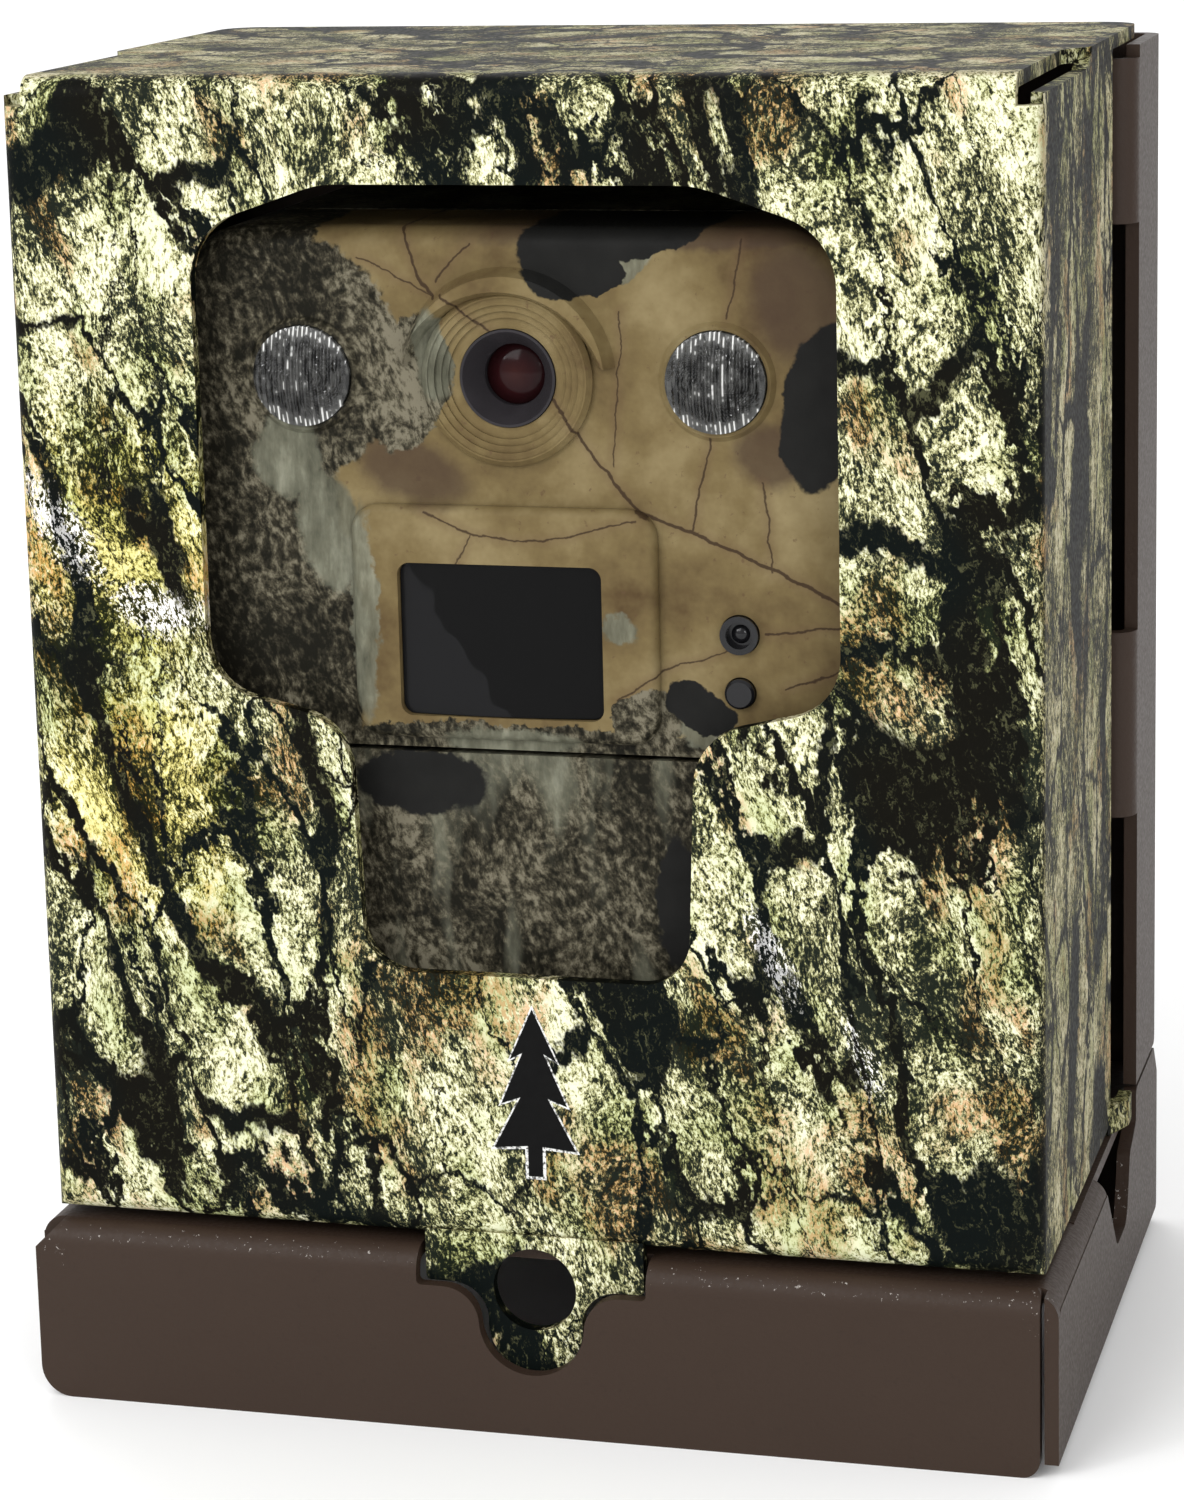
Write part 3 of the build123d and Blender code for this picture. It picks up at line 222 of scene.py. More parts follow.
def bark_cover():
    """Bark camouflage: pale flaking plates split by dark leaning cracks."""
    g = Graph("bark_camo")
    p = g.map(g.mm, rot=(0, BARK_LEAN, 0))
    w = g.push(p, g.drift(g.map(p, (0.05, 0.05, 0.03)), 2.0, 0.6), 12.0)
    ragged = g.push(w, g.drift(g.map(p, (0.55, 0.55, 0.35)), 3.0, 0.65), 4.4)

    # long fissures follow the level lines of a stretched noise
    level = g.noise(g.map(ragged, (0.036, 0.036, 0.0085), loc=(7.02, 2.4, 1.7)), 1.0, 1.0, 0.5)
    band = g.math("FRACT", g.mul(level, FISSURE_BANDS))
    fissure = g.mul(g.math("ABSOLUTE", g.sub(band, 0.5)), 1.0 / FISSURE_BANDS)
    # plates are split by cracks that run across as well
    cells = g.voronoi(g.map(ragged, (0.105, 0.105, 0.034), loc=(3.1, 0.4, 7.7)))
    blot = g.noise(g.map(p, (0.045, 0.045, 0.03), loc=(8, 1, 3)), 1.0, 2.0, color=True)
    bx, by, bz = g.xyz(blot)
    deep = g.step(fissure, g.step(bx, 0.34, 0.66, 0.006, 0.023),
                  g.step(bx, 0.34, 0.66, 0.014, 0.033), 1.0, 0.0)
    thin = g.step(cells, g.step(by, 0.38, 0.64, 0.0, 0.045),
                  g.step(by, 0.38, 0.64, 0.02, 0.085), 1.0, 0.0)
    dark = g.math("MAXIMUM", deep, thin)

    # flakes: high-contrast grain that runs along the bark
    grain = g.noise(g.map(ragged, (1.15, 1.15, 0.52)), 1.0, 4.0, 0.70)
    chips = g.noise(g.map(w, (3.0, 3.0, 1.35), loc=(4, 4, 4)), 1.0, 2.0, 0.7)
    patches = g.noise(g.map(w, (0.11, 0.11, 0.06), loc=(2, 6, 1)), 1.0, 2.0, 0.6, color=True)
    body, olive, rust = g.xyz(patches)
    tone = g.add(g.mul(g.sub(grain, 0.5), 3.3), g.mul(g.sub(chips, 0.5), 2.4))
    tone = g.add(g.add(tone, g.mul(g.sub(body, 0.5), 2.2)), 0.54)
    tone = g.sub(tone, g.step(fissure, 0.01, 0.07, 0.20, 0.0))
    plate = g.ramp(tone, [
        (0.05, (0.010, 0.013, 0.009)), (0.28, (0.040, 0.042, 0.022)),
        (0.42, (0.140, 0.138, 0.066)), (0.56, (0.315, 0.305, 0.145)),
        (0.74, (0.540, 0.530, 0.310)), (1.00, (0.760, 0.755, 0.560))])
    plate = g.mix(g.step(olive, 0.46, 0.66, 0.0, 0.55), plate, (0.50, 0.60, 0.30), "MULTIPLY")
    rust = g.mul(g.step(rust, 0.53, 0.64), g.step(chips, 0.42, 0.56))
    plate = g.mix(g.mul(rust, 0.7), plate, (0.70, 0.33, 0.15), "MULTIPLY")

    # yellow lichen and bare white wood, on the front only
    px, py, pz = g.xyz(g.mm)
    front = g.step(py, -41.0, -38.0, 1.0, 0.0)
    wobble = g.mul(g.sub(grain, 0.5), 3.4)
    yellow = g.ellipses(px, pz, [(-50, 108, 15, 17), (-48, 78, 13, 16, 0.3)])
    yellow = g.mul(g.step(g.add(yellow, wobble), 0.5, 1.3, 0.75, 0.0), front)
    plate = g.mix(yellow, plate, (1.0, 0.88, 0.36), "MULTIPLY")
    pale = g.ellipses(px, pz, [(-56, 110, 3.2, 9, 0.5), (-45, 101, 8, 3.4, -0.15),
                               (30, 62, 2.2, 8, 0.45), (41, 50, 2.0, 7, 0.35)])
    pale = g.mul(g.step(g.add(pale, wobble), 0.72, 0.92, 0.95, 0.0), front)
    pale = g.mul(pale, g.step(tone, 0.42, 0.62))
    plate = g.mix(pale, plate, (0.80, 0.79, 0.80))

    crack = g.mix(g.step(bz, 0.4, 0.6), (0.0030, 0.0046, 0.0042), (0.0048, 0.0044, 0.0030))
    crack = g.mix(g.step(grain, 0.55, 0.66, 0.0, 0.6), crack, (0.085, 0.086, 0.042))
    color = g.mix(g.mul(dark, g.sub(1.0, g.mul(pale, 0.5))), plate, crack)
    # painted shade: the folded sides and the roof, found by their facing, are darkened and greyed for
    # the way light falls on them
    roof_and_side_shade = g.step(g.math("ABSOLUTE", g.xyz(g.normal)[1]), 0.3, 0.7, 1.0, 0.0)
    color = g.mix(roof_and_side_shade, color, g.mix(0.9, color, (0.56, 0.51, 0.46), "MULTIPLY"))

    peel = g.noise(g.map(g.mm, (1.6, 1.6, 1.6)), 1.0, 1.0, 0.5)
    return g.surface(Base_Color=color, Roughness=g.step(peel, 0.3, 0.7, 0.44, 0.56),
                     Specular_IOR_Level=0.03, Normal=g.bump(peel, 0.15, 0.0001))


def brown_powder():
    """Satin brown powder coat with orange peel and a few white flecks at the folds: chipped paint, and
    along the apron's fold also painted highlight.
    """
    g = Graph("brown_powder_coat")
    x, y, z = g.xyz(g.mm)
    cloud = g.noise(g.map(g.mm, (0.05, 0.05, 0.05)), 1.0, 3.0, 0.55)
    peel = g.noise(g.map(g.mm, (1.9, 1.9, 1.9)), 1.0, 2.0, 0.5)
    base = g.mix(cloud, (0.031, 0.0190, 0.0130), (0.037, 0.0230, 0.0160))
    spots = g.noise(g.map(g.mm, (0.9, 0.9, 0.9), loc=(3, 5, 1)), 1.0, 3.0, 0.6)
    base = g.mix(g.step(spots, 0.62, 0.72, 0.0, 0.35), base, (0.024, 0.015, 0.011))

    def close_to(value, middle, near, far):
        """1 within near of a place, fading to 0 at far."""
        return g.step(g.math("ABSOLUTE", g.sub(value, middle)), near, far, 1.0, 0.0)

    # paint knocked off along the apron's fold, at the ears' slots and at the apron's corners; the pale
    # flecks along the fold are also painted highlight for the glints the fold catches
    fold_wear_and_glint = g.mul(close_to(z, APRON_TOP, 0.5, 1.6), g.step(y, -43.5, -40.0, 1.0, 0.0))
    near_slot = g.mul(close_to(y, 15.5, 1.0, 3.4), g.step(z, 24.0, 27.0, 1.0, 0.0))
    corner = g.mul(close_to(g.math("ABSOLUTE", x), APRON_X, 1.0, 2.5),
                   g.mul(g.step(y, -43.5, -41.0, 1.0, 0.0), g.step(z, 16.0, 18.0)))
    wear_and_glint_zone = g.math("MAXIMUM", g.math("MAXIMUM", fold_wear_and_glint, near_slot), corner)
    flecks = g.noise(g.map(g.mm, (1.5, 1.5, 1.5), loc=(2, 8, 4)), 1.0, 4.0, 0.75)
    fleck_wear_and_glint = g.step(g.add(flecks, g.mul(wear_and_glint_zone, 0.13)), 0.76, 0.80)
    base = g.mix(g.mul(fleck_wear_and_glint, 0.8), base, (0.42, 0.39, 0.36))
    rough = g.add(g.step(peel, 0.3, 0.7, 0.44, 0.56), g.mul(fleck_wear_and_glint, 0.15))
    return g.surface(Base_Color=base, Roughness=rough, Specular_IOR_Level=0.17,
                     Normal=g.bump(peel, 0.30, 0.00014))


def bark_tone(g, p):
    """Dark blurred bark, for the camera's own camouflage."""
    q = g.map(p, rot=(0, 0.35, 0), loc=(3.0, 3.0, 3.0))
    q = g.push(q, g.drift(g.map(q, (0.12, 0.12, 0.12)), 2.0, 0.5), 3.0)
    grain = g.noise(g.map(q, (1.15, 1.15, 0.75)), 1.0, 4.0, 0.66)
    patch = g.noise(g.map(q, (0.13, 0.13, 0.07)), 1.0, 2.0, 0.5)
    return g.add(g.add(g.mul(g.sub(grain, 0.5), 2.7), g.mul(g.sub(patch, 0.5), 1.5)), 0.46)


# the leaf print's layout on the camera's face, in x and z, with painted shade along the face's top:
# ellipses are (cx, cz, rx, rz, turn)
DOOR_BLACK = [(-14, 79.5, 9, 4.2), (17.5, 66, 2.6, 9)]
# stains on the leaf; the last, a wide flat band along the face's top edge, is painted shade under the
# window's top edge
LEAF_STAINS_AND_TOP_SHADE = [(33, 138, 6.5, 8, 0.3), (-14, 117.5, 8, 4.2, -0.3), (29.5, 120, 5, 4),
               (20, 146, 30, 2.2)]
LEAF_VEINS = [  # start, end and width of each vein
    ((3.4, 126.2), (13.5, 113.2), 0.42), ((13.5, 113.2), (20.0, 111.2), 0.42),
    ((20.0, 111.2), (39.5, 102.0), 0.45), ((13.5, 112.4), (2.5, 109.7), 0.2),
    ((2.5, 109.7), (-6.6, 110.2), 0.2), ((-6.6, 110.2), (-12.4, 113.0), 0.22),
    ((-6.6, 110.2), (-8.6, 106.4), 0.15), ((12.0, 137.0), (10.8, 118.6), 0.15),
    ((22.3, 122.2), (20.1, 111.3), 0.26), ((28.6, 117.0), (29.4, 106.4), 0.18),
    ((-14.6, 146.6), (-12.6, 140.6), 0.35), ((-12.6, 140.6), (-10.6, 138.4), 0.4),
    ((-10.6, 140.2), (-6.0, 144.6), 0.22), ((-10.8, 138.6), (-20.0, 143.0), 0.16),
    ((-9.6, 138.8), (-3.8, 134.4), 0.28), ((28.5, 99.0), (39.0, 100.2), 0.22),
    ((17.0, 94.6), (25.0, 97.0), 0.18), ((17.0, 94.6), (11.0, 91.0), 0.2),
    ((26.2, 145.0), (24.6, 136.0), 0.2), ((31.0, 92.5), (38.0, 95.2), 0.22)]
BARK_PATCHES = [(-42, 120, 19, 34), (-27, 131, 12, 14), (-14.5, 128, 5.5, 8.5, -0.3),
                (-34, 96, 14.5, 22), (-2, 83.2, 26, 4.6), (14.5, 88.6, 4.2, 3.6),
                (-34, 145, 9, 6)]
LICHEN_PATCHES = [(-29.5, 119.0, 4.6, 5.5), (-24.6, 110, 4.2, 8, 0.15),
                  (-20.2, 100, 1.9, 14, 0.02), (-11.0, 131.5, 2.2, 6.0, 0.1),
                  (-2.5, 85.2, 9, 2.2), (11.2, 99.2, 2.4, 2.2), (21.2, 86.8, 3.6, 2.0),
                  (12.4, 141.9, 4.4, 1.5, 0.5)]
# the patch along the face's top edge, at z 146.2, is charcoal print running on into painted shadow
# under the window's top edge
BLACK_PATCHES = [(5.6, 143.2, 6.4, 5.0, -0.2), (15.0, 146.2, 9.0, 3.0, 0.25),
                 (9.5, 140.6, 3.2, 2.0, 0.4), (35.6, 126.0, 5.0, 10.2, -0.15),
                 (20.5, 89.6, 4.6, 2.9, -0.5)]


def leaf_face(door=False):
    """Camera camouflage: a dry leaf with veins over dark bark and lichen."""
    g = Graph("door_camo" if door else "leaf_camo")
    x, _, z = g.xyz(g.mm)
    flat = g.vec(x, 0.0, z)
    warp = g.drift(g.map(g.mm, (0.22, 0.22, 0.22)), 4.0, 0.6)
    wob = g.push_xz(flat, warp, 3.2)
    wx, _, wz = g.xyz(wob)
    rag = g.drift(g.map(g.mm, (0.9, 0.9, 0.9)), 3.0, 0.6)
    rx, _, rz = g.xyz(g.push_xz(wob, rag, 1.8))

    bark = g.ramp(bark_tone(g, g.mm), [
        (0.12, (0.008, 0.0075, 0.005)), (0.40, (0.026, 0.023, 0.015)),
        (0.60, (0.062, 0.055, 0.036)), (0.90, (0.150, 0.135, 0.095))])
    lichen_grain = g.noise(g.map(g.mm, (0.5, 0.5, 0.16), loc=(2, 2, 2)), 1.0, 4.0, 0.6)
    lichen = g.ramp(lichen_grain, [
        (0.3, (0.055, 0.055, 0.038)), (0.55, (0.125, 0.125, 0.090)), (0.75, (0.22, 0.22, 0.165))])
    char_grain = g.noise(g.map(g.mm, (0.3, 0.3, 0.3), loc=(6, 1, 2)), 1.0, 2.0, 0.5)
    char = g.mix(char_grain, (0.0075, 0.0075, 0.0070), (0.014, 0.014, 0.013))
    if door:
        runs = g.map(g.mm, (0.14, 0.14, 0.035), rot=(0, 0.15, 0), loc=(5, 5, 0.7))
        streak = g.step(g.noise(runs, 1.0, 3.0, 0.55), 0.52, 0.66)
        color = g.mix(g.mul(streak, 0.75), bark, lichen)
        patch = g.ellipses(rx, rz, DOOR_BLACK)
        color = g.mix(g.step(patch, 0.85, 1.0, 1.0, 0.0), color, char)
    else:
        mottle = g.noise(g.map(g.mm, (0.060, 0.060, 0.060), loc=(1, 1, 1)), 1.0, 5.0, 0.66)
        leaf = g.ramp(mottle, [
            (0.30, (0.062, 0.038, 0.017)), (0.5, (0.136, 0.100, 0.044)),
            (0.72, (0.225, 0.178, 0.091))])
        specks = g.noise(g.map(g.mm, (0.7, 0.7, 0.7), loc=(9, 1, 4)), 1.0, 3.0, 0.7)
        leaf = g.mix(g.step(specks, 0.63, 0.72, 0.0, 0.6), leaf, (0.085, 0.050, 0.028))
        # darker stains, and the painted shade band along the face's top
        stain_and_top_shade = g.ellipses(wx, wz, LEAF_STAINS_AND_TOP_SHADE)
        leaf = g.mix(g.step(stain_and_top_shade, 0.6, 1.15, 0.78, 0.0), leaf, (0.052, 0.033, 0.022))
        vein_wob = g.push_xz(flat, warp, 1.8)
        near = g.least([g.sub(g.segment(vein_wob, a, b), wide * 0.40) for a, b, wide in LEAF_VEINS])
        line = g.step(near, -0.05, 0.11, 1.0, 0.0)
        halo = g.step(near, 0.0, 1.3, 0.30, 0.0)
        leaf = g.mix(halo, leaf, (0.10, 0.062, 0.034))
        leaf = g.mix(g.mul(line, 0.85), leaf, (0.028, 0.016, 0.010))
        away = g.ellipses(rx, rz, BARK_PATCHES)
        color = g.mix(g.step(away, 0.96, 1.02, 1.0, 0.0), leaf, bark)
        grey = g.ellipses(rx, rz, LICHEN_PATCHES)
        color = g.mix(g.step(grey, 0.8, 1.05, 0.9, 0.0), color, lichen)
        # charcoal print, and at the face's top edge painted shadow
        black = g.ellipses(wx, wz, BLACK_PATCHES)
        color = g.mix(g.step(black, 0.94, 1.0, 1.0, 0.0), color, char)
        # the shell below the face is bark all round
        color = g.mix(g.step(rz, 82.6, 83.4, 1.0, 0.0), color, bark)
    peel = g.noise(g.map(g.mm, (2.6, 2.6, 2.6)), 1.0, 2.0, 0.5)
    rough = g.step(peel, 0.3, 0.7, 0.46, 0.58)
    return g.surface(Base_Color=color, Roughness=rough, Specular_IOR_Level=0.06,
                     Normal=g.bump(peel, 0.18, 0.0001))


def plastic(name, dark, light, rough=(0.4, 0.55), grain=2.2, spec=0.3, bump=0.25):
    """Moulded plastic or rubber with a fine spark-eroded grain."""
    g = Graph(name)
    n = g.noise(g.map(g.mm, (grain,) * 3), 1.0, 3.0, 0.6)
    dust = g.noise(g.map(g.mm, (0.12,) * 3, loc=(2, 3, 4)), 1.0, 4.0, 0.65)
    color = g.mix(g.step(dust, 0.4, 0.75), dark, light)
    return g.surface(Base_Color=color, Roughness=g.step(n, 0.3, 0.7, *rough), Specular_IOR_Level=spec,
                     Normal=g.bump(n, bump, 0.00008))


def metal(name, color, rough, along=(0.3, 4.0, 4.0)):
    """Machined or drawn metal with fine lines and slight tarnish."""
    g = Graph(name)
    lines = g.noise(g.map(g.mm, along), 1.0, 3.0, 0.6)
    tarnish = g.noise(g.map(g.mm, (0.4,) * 3), 1.0, 4.0, 0.6)
    base = g.mix(g.step(tarnish, 0.45, 0.8), color, tuple(c * 0.6 for c in color))
    return g.surface(Base_Color=base, Metallic=1.0,
                     Roughness=g.step(lines, 0.3, 0.7, rough - 0.08, rough + 0.1),
                     Normal=g.bump(lines, 0.15, 0.00004))


def board():
    """Green solder mask with copper tracks under it."""
    g = Graph("circuit_board")
    cells = g.voronoi(g.map(g.mm, (0.35, 0.35, 0.35)), feature="F1", out="Color")
    x, _, z = g.xyz(g.mm)
    # in about half the cells the tracks run aslant
    aslant = g.mul(g.math("ROUND", g.xyz(cells)[0]), z)
    tracks = g.step(g.math("FRACT", g.mul(g.add(x, aslant), 0.8)), 0.42, 0.5)
    color = g.mix(g.mul(tracks, 0.6), (0.010, 0.075, 0.035), (0.030, 0.145, 0.060))
    return g.surface(Base_Color=color, Roughness=g.step(tracks, 0, 1, 0.28, 0.38),
                     Normal=g.bump(tracks, 0.3, 0.00005))


def glass(name, color, rough, ior):
    """Clear moulded or ground glass; smears only touch its gloss."""
    g = Graph(name)
    smear = g.noise(g.map(g.mm, (0.5, 0.5, 0.5)), 1.0, 3.0, 0.6)
    return g.surface(Base_Color=color, Roughness=g.step(smear, 0.4, 0.8, rough, rough + 0.05),
                     Transmission_Weight=1.0, IOR=ior)


RIB_PITCH = 0.55                 # of the bright ribs behind the emitter caps, painted as highlight dashes, mm


def ribbed_cap():
    """Clear ribbed emitter cap with painted highlights: each rib's reflection is painted as a few
    bright broken dashes.
    """
    g = Graph("clear_emitter_lens")
    x, _, z = g.xyz(g.mm)
    count = g.mul(x, 1.0 / RIB_PITCH)
    rib = g.math("ABSOLUTE", g.sub(g.math("FRACT", count), 0.5))
    bars = g.step(rib, 0.10, 0.22, 1.0, 0.0)
    side = g.math("ABSOLUTE", g.sub(x, CAM_X))
    r = g.vmath("LENGTH", g.vec(g.sub(side, EMITTER_DX), 0.0, g.sub(z, EYE_Z)))
    steps = g.vec(g.math("FLOOR", count), 0.0, g.mul(z, 0.45))
    gate = g.noise(g.map(steps, (0.9, 1.0, 1.0)), 1.0, 2.0, 0.6)
    rim_glint = g.mul(g.step(r, 4.1, 5.2), g.step(g.math("ABSOLUTE", g.sub(z, EYE_Z)), 2.2, 4.2))
    # painted reflection: the emitter's image is painted as a glow a little outward of and above the
    # cap's centre
    image = g.vec(g.mul(g.sub(side, EMITTER_DX + 0.8), 1.3), 0.0, g.mul(g.sub(z, EYE_Z + 0.8), 0.75))
    middle = g.step(g.vmath("LENGTH", image), 1.2, 3.0, 1.0, 0.0)
    bright = g.add(gate, g.add(g.mul(rim_glint, 0.20), g.mul(middle, 0.11)))
    glint_dash = g.mul(g.step(bright, 0.63, 0.72), bars)
    # painted glow of the emitter behind the cap, brighter where the painted reflections gather
    painted_glow = g.step(bright, 0.38, 0.75, 0.012, 0.11)
    color = g.mix(glint_dash, g.vec(painted_glow, painted_glow, g.mul(painted_glow, 0.95)), (0.96, 0.96, 0.93))
    return g.surface(Base_Color=color, Roughness=g.step(gate, 0.3, 0.7, 0.05, 0.09), IOR=1.49,
                     Transmission_Weight=0.35, Specular_IOR_Level=0.3)


def sensor_window():
    """Black infrared film, faintly cloudy, with pressed lens zones."""
    g = Graph("sensor_window_black")
    x, _, z = g.xyz(g.mm)
    cloud = g.noise(g.map(g.mm, (0.10,) * 3, loc=(3, 3, 3)), 1.0, 2.0)
    wave = g.add(x, g.mul(g.sub(cloud, 0.5), 22.0))
    veil = g.step(g.sub(wave, g.mul(g.sub(96.5, z), 0.55)), -10.4, -9.6, 1.0, 0.0)
    color = g.mix(veil, (0.0025, 0.0025, 0.0025), (0.0085, 0.0085, 0.0090))
    zones = g.vmath("DISTANCE", g.vec(x, 0.0, z), (-3.3, 0.0, 97.4))
    rings = g.math("FRACT", g.mul(zones, 1.4))
    n = g.noise(g.map(g.mm, (3.0,) * 3), 1.0, 2.0, 0.5)
    return g.surface(Base_Color=color, Roughness=g.step(n, 0.3, 0.7, 0.16, 0.24),
                     Specular_IOR_Level=0.08, Normal=g.bump(g.add(g.mul(rings, 0.3), n), 0.12, 0.00005))


def lens_red():
    """Coated lens: dark red centre fading to black, with the coating's gloss."""
    g = Graph("coated_lens_red")
    x, _, z = g.xyz(g.mm)
    r = g.vmath("DISTANCE", g.vec(x, 0.0, z), (CAM_X, 0.0, EYE_Z))
    cloud = g.noise(g.map(g.mm, (0.8,) * 3), 1.0, 3.0, 0.6)
    color = g.ramp(g.add(g.mul(r, 0.25), g.mul(g.sub(cloud, 0.5), 0.25)), [
        (0.05, (0.028, 0.007, 0.006)), (0.5, (0.018, 0.0034, 0.0040)),
        (0.95, (0.009, 0.0025, 0.0030))])
    return g.surface(Base_Color=color, Roughness=g.step(cloud, 0.3, 0.7, 0.10, 0.16),
                     Specular_IOR_Level=0.12)


def cell_sleeve():
    """Black battery sleeve with a copper band."""
    g = Graph("cell_sleeve")
    x = g.xyz(g.mm)[0]
    band = g.step(g.math("ABSOLUTE", g.sub(x, 12.0)), 6.8, 7.0, 1.0, 0.0)
    scuff = g.noise(g.map(g.mm, (0.6, 0.6, 0.6)), 1.0, 4.0, 0.7)
    color = g.mix(band, (0.012, 0.012, 0.013), (0.36, 0.17, 0.07))
    return g.surface(Base_Color=color, Roughness=g.step(scuff, 0.4, 0.8, 0.22, 0.45),
                     Metallic=g.mul(band, 0.7))


def screen():
    """Dark display under gloss glass, its pixels just visible."""
    g = Graph("screen_glass")
    x, _, z = g.xyz(g.mm)
    grid = g.math("MAXIMUM", g.math("FRACT", g.mul(x, 4.0)), g.math("FRACT", g.mul(z, 4.0)))
    color = g.mix(g.step(grid, 0.85, 0.95), (0.012, 0.015, 0.018), (0.006, 0.007, 0.009))
    smear = g.noise(g.map(g.mm, (0.2,) * 3), 1.0, 3.0, 0.6)
    return g.surface(Base_Color=color, Roughness=g.step(smear, 0.4, 0.7, 0.05, 0.16), Coat_Weight=0.6)


def decal():
    """Matt black vinyl with slight print mottling."""
    g = Graph("decal_black")
    n = g.noise(g.map(g.mm, (1.2,) * 3), 1.0, 3.0, 0.6)
    return g.surface(Base_Color=g.mix(n, (0.003, 0.003, 0.003), (0.007, 0.007, 0.007)),
                     Roughness=g.step(n, 0.3, 0.7, 0.5, 0.6), Specular_IOR_Level=0.05)


def decal_edge():
    """Pale broken outline of the decal."""
    g = Graph("decal_pale")
    n = g.noise(g.map(g.mm, (1.6,) * 3), 1.0, 4.0, 0.7)
    color = g.ramp(n, [(0.42, (0.05, 0.05, 0.045)), (0.52, (0.72, 0.72, 0.70))])
    return g.surface(Base_Color=color, Roughness=g.step(n, 0.3, 0.7, 0.5, 0.6))


black = plastic("black_plastic", (0.010, 0.010, 0.010), (0.022, 0.021, 0.020))
charcoal = plastic("charcoal_plastic", (0.017, 0.015, 0.017), (0.026, 0.023, 0.026),
                   rough=(0.5, 0.62), grain=3.0, spec=0.2)
gloss = plastic("black_gloss", (0.006, 0.006, 0.007), (0.011, 0.011, 0.012),
                rough=(0.10, 0.18), bump=0.05)
rubber = plastic("black_rubber", (0.014, 0.014, 0.014), (0.028, 0.027, 0.025),
                 rough=(0.7, 0.85), grain=1.4, spec=0.25)
grey_key = plastic("button_grey", (0.10, 0.10, 0.105), (0.15, 0.15, 0.155), rough=(0.35, 0.5))
steel = metal("bright_steel", (0.55, 0.55, 0.56), 0.32)
brass = metal("brass", (0.72, 0.50, 0.20), 0.30)
mirror = metal("reflector_chrome", (0.075, 0.075, 0.07), 0.25, along=(2, 2, 2))
red_lens = lens_red()
clear = ribbed_cap()
led_clear = glass("led_epoxy", (0.75, 0.72, 0.80), 0.05, 1.53)
filter_glass = glass("filter_glass", (0.75, 0.92, 0.90), 0.02, 1.52)
bark_cam = leaf_face(door=True)
leaf = leaf_face()
green = board()

LOOKS = {
    "front_cover": bark_cover(), "front_housing": leaf, "service_door": bark_cam,
    "rear_housing": bark_cam, "housing_gasket": rubber, "power_plug": rubber,
    "pir_window": sensor_window(), "front_lens": red_lens, "rear_lens": filter_glass,
    "ir_cut_filter": filter_glass, "lens_barrel": charcoal, "light_sensor": gloss,
    "status_led": gloss, "viewing_screen": screen(), "batteries": cell_sleeve(),
    "ir_lens_left": clear, "ir_lens_right": clear, "ir_led_left": led_clear,
    "ir_led_right": led_clear, "ir_reflector_left": mirror, "ir_reflector_right": mirror,
    "tripod_insert": brass, "contacts_left": brass, "contacts_right": brass,
}
brown = brown_powder()
for name in ("back_shell", "base_tray"):
    LOOKS[name] = brown
for name in ("front_board", "main_board", "sensor_board", "keypad_board"):
    LOOKS[name] = green
for name in ("housing_screws", "door_hinge_pin", "latch_pin", "pir_sensor", "card_reader"):
    LOOKS[name] = steel
for name in nodes:
    if name.startswith("button_"):
        LOOKS[name] = grey_key
for name, obj in nodes.items():
    mat = LOOKS.get(name, black)
    if not obj.material_slots:
        obj.data.materials.append(mat)
    for slot in obj.material_slots:
        slot.material = mat


# ---------------------------------------------------------------- new pieces
def add_piece(name, verts, faces, mat, body):
    """A closed mesh piece, given in millimetres, that rides on a body."""
    mesh = bpy.data.meshes.new(name)
    mesh.from_pydata([tuple(c / 1000 for c in v) for v in verts], [], faces)
    mesh.materials.append(mat)
    bm = bmesh.new()
    bm.from_mesh(mesh)
    bmesh.ops.recalc_face_normals(bm, faces=bm.faces)
    bm.to_mesh(mesh)
    bm.free()
    obj = bpy.data.objects.new(name, mesh)
    bpy.context.scene.collection.objects.link(obj)
    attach(obj, body)
    return obj


CAP_RINGS, CAP_SPOKES = 34, 144
CAP_DOME = 1.6                   # how far the cap's rim lies behind its centre, mm
FLUTE_PITCH, FLUTE_DEPTH = 0.80, 0.34
CAP_BACK_INSET = 2.4             # the cap stops this far short of the plain lens's back, mm


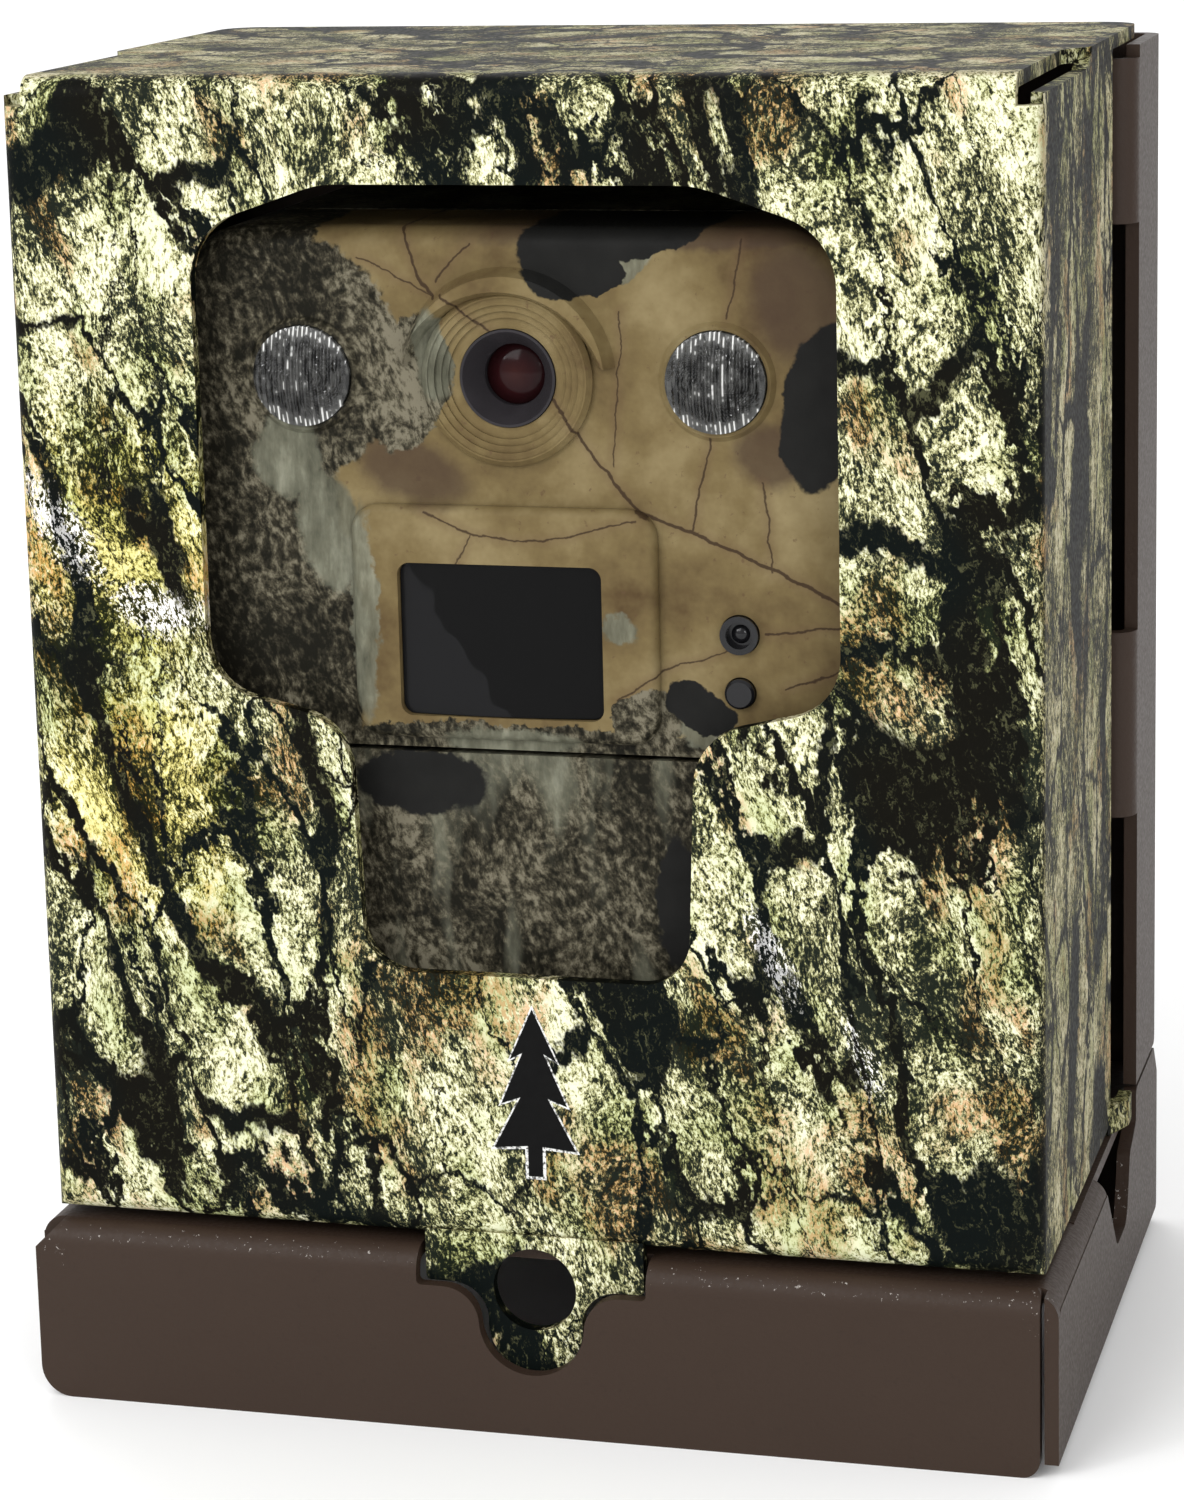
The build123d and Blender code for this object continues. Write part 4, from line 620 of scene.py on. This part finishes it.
def fluted_lens(name, node):
    """Emitter cap with upright flutes pressed into its dome, closed at the back."""
    low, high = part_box(node)
    cx, cz = (low.x + high.x) * 500, (low.z + high.z) * 500
    radius = (high.x - low.x) * 500 - 0.02
    front, back = low.y * 1000, high.y * 1000
    verts, faces = [(cx, front, cz)], []
    for i in range(1, CAP_RINGS + 1):
        r = radius * i / CAP_RINGS
        for k in range(CAP_SPOKES):
            a = 2 * math.pi * k / CAP_SPOKES
            dx, dz = r * math.cos(a), r * math.sin(a)
            dome = CAP_DOME * (r / radius) ** 2
            wave = 1 - math.cos(2 * math.pi * dx / FLUTE_PITCH)
            flute = FLUTE_DEPTH / 2 * wave * (1 - (r / radius) ** 8)
            verts.append((cx + dx, front + dome + flute, cz + dz))
    for k in range(CAP_SPOKES):
        faces.append((0, 1 + k, 1 + (k + 1) % CAP_SPOKES))
    for i in range(CAP_RINGS - 1):
        a0, b0 = 1 + i * CAP_SPOKES, 1 + (i + 1) * CAP_SPOKES
        for k in range(CAP_SPOKES):
            k2 = (k + 1) % CAP_SPOKES
            faces.append((a0 + k, b0 + k, b0 + k2, a0 + k2))
    edge = 1 + (CAP_RINGS - 1) * CAP_SPOKES
    last = len(verts)
    for k in range(CAP_SPOKES):
        a = 2 * math.pi * k / CAP_SPOKES
        verts.append((cx + radius * math.cos(a), back - CAP_BACK_INSET, cz + radius * math.sin(a)))
    for k in range(CAP_SPOKES):
        k2 = (k + 1) % CAP_SPOKES
        faces.append((edge + k, last + k, last + k2, edge + k2))
    faces.append(tuple(last + k for k in range(CAP_SPOKES)))
    obj = add_piece(name, verts, faces, clear, ROOT)
    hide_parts(node)


fluted_lens("fluted_cap_left", "ir_lens_left")
fluted_lens("fluted_cap_right", "ir_lens_right")


def flat_shape(name, outline, y0, y1, mat, body):
    """A thin plate from an x-z outline, between two depths."""
    n = len(outline)
    verts = [(x, y0, z) for x, z in outline] + [(x, y1, z) for x, z in outline]
    faces = [tuple(range(n)), tuple(range(2 * n - 1, n - 1, -1))]
    faces += [(k, (k + 1) % n, n + (k + 1) % n, n + k) for k in range(n)]
    add_piece(name, verts, faces, mat, body)


# a plain conifer takes the place of the cover's printed mark
MARK_X = 0.6
MARK_TIP, MARK_FOOT = 53.6, 32.6
TRUNK_HALF, TRUNK_TOP = 0.9, 36.4
TIERS = [(47.2, 2.9, 1.3), (41.6, 4.1, 1.7), (36.0, 5.1, 1.9)]  # each tier's z, half width, waist
MARK_OUTLINE = 0.55              # width of the pale outline round the mark, mm


def conifer(grow):
    """Outline of a generic pine, as x-z points round it, grown by a margin."""
    right = [(0.0, MARK_TIP)]
    for z, wide, waist in TIERS:
        right += [(wide, z), (waist, z + 0.9)]
    right[-1] = (TRUNK_HALF, TRUNK_TOP)
    right.append((TRUNK_HALF, MARK_FOOT))
    pts = right + [(-x, z) for x, z in reversed(right) if x > 0]
    out = []
    for i, (x, z) in enumerate(pts):
        a, b, c = Vector(pts[i - 1]), Vector((x, z)), Vector(pts[(i + 1) % len(pts)])
        e1, e2 = (b - a).normalized(), (c - b).normalized()
        normal = (Vector((-e1.y, e1.x)) + Vector((-e2.y, e2.x))).normalized()
        out.append((x + normal.x * grow + MARK_X, z + normal.y * grow))
    return out


flat_shape("tree_mark_edge", conifer(MARK_OUTLINE), COVER_FACE_Y - 0.05, COVER_FACE_Y,
           decal_edge(), "cover")
flat_shape("tree_mark", conifer(0.0), COVER_FACE_Y - 0.09, COVER_FACE_Y - 0.05,
           decal(), "cover")

# ---------------------------------------------------------------- stage, light, camera
FLOOR_FRONT, FLOOR_BACK, FLOOR_HALF = -1.6, 0.9, 3.0    # metres
SWEEP_RADIUS, SWEEP_STEPS, SWEEP_TOP = 0.6, 12, 3.0


def stage():
    """Pale seamless sweep."""
    profile = [(FLOOR_FRONT, 0.0), (FLOOR_BACK, 0.0)]
    for k in range(1, SWEEP_STEPS + 1):
        a = math.radians(90 * k / SWEEP_STEPS)
        profile.append((FLOOR_BACK + SWEEP_RADIUS * math.sin(a),
                        SWEEP_RADIUS - SWEEP_RADIUS * math.cos(a)))
    profile.append((FLOOR_BACK + SWEEP_RADIUS, SWEEP_TOP))
    verts = []
    for y, z in profile:
        verts += [(-FLOOR_HALF, y, z), (FLOOR_HALF, y, z)]
    faces = [(2 * i, 2 * i + 1, 2 * i + 3, 2 * i + 2) for i in range(len(profile) - 1)]
    mesh = bpy.data.meshes.new("sweep")
    mesh.from_pydata(verts, [], faces)
    mesh.polygons.foreach_set("use_smooth", [True] * len(mesh.polygons))
    g = Graph("pale_floor")
    n = g.noise(g.map(g.mm, (0.01,) * 3), 1.0, 2.0, 0.5)
    color = g.mix(n, (0.90, 0.90, 0.90), (0.93, 0.93, 0.93))
    mesh.materials.append(g.surface(Base_Color=color, Roughness=0.9))
    obj = bpy.data.objects.new("sweep", mesh)
    bpy.context.scene.collection.objects.link(obj)


stage()

MIDDLE = (0.0, 0.0, 0.08)        # what every light points at
LIGHTS = [                       # name, place, size, watts
    ("key", (-0.50, -0.95, 0.85), (0.8, 0.8), 9.0),
    ("fill", (0.85, -0.75, 0.45), (0.8, 0.8), 3.0),
    ("back", (-0.3, 0.9, 1.1), (1.0, 0.6), 6.0),
    ("sparkle_left", (-0.70, -0.90, 0.55), (0.07, 0.22), 1.3),
    ("sparkle_right", (0.60, -1.05, 0.40), (0.07, 0.22), 1.1)]
for name, place, size, power in LIGHTS:
    data = bpy.data.lights.new(name, "AREA")
    data.shape, data.size, data.size_y = "RECTANGLE", size[0], size[1]
    data.energy = power
    lamp = bpy.data.objects.new(name, data)
    lamp.location = place
    lamp.rotation_euler = (Vector(MIDDLE) - Vector(place)).to_track_quat("-Z", "Y").to_euler()
    bpy.context.scene.collection.objects.link(lamp)

world = bpy.data.worlds.new("studio")
world.use_nodes = True
sky = world.node_tree.nodes["Background"].inputs
sky[0].default_value = (1.0, 1.0, 1.0, 1.0)
sky[1].default_value = 0.85
bpy.context.scene.world = world
bpy.context.scene.view_settings.view_transform = "Standard"

VIEW_BACK = (0.25720, -0.94467, 0.20357)   # from the object to the camera
VIEW_AIM = (9.30, -43.0, 103.82)           # the point on the view axis at the cover's face, mm
VIEW_DISTANCE, VIEW_ROLL = 0.47669, -0.02424
back = Vector(VIEW_BACK).normalized()
place = Vector(VIEW_AIM) / 1000 + back * VIEW_DISTANCE
right = (-back).cross(Vector((0, 0, 1))).normalized()
up = right.cross(-back)
r_axis = right * math.cos(VIEW_ROLL) + up * math.sin(VIEW_ROLL)
u_axis = up * math.cos(VIEW_ROLL) - right * math.sin(VIEW_ROLL)
cam_data = bpy.data.cameras.new("camera")
cam_data.sensor_width, cam_data.lens, cam_data.shift_y = 36.0, 98.28, -0.1
cam_data.clip_start = 0.01
cam = bpy.data.objects.new("camera", cam_data)
cam.matrix_world = Matrix((
    (r_axis.x, u_axis.x, back.x, place.x), (r_axis.y, u_axis.y, back.y, place.y),
    (r_axis.z, u_axis.z, back.z, place.z), (0, 0, 0, 1)))
bpy.context.scene.collection.objects.link(cam)
bpy.context.scene.camera = cam
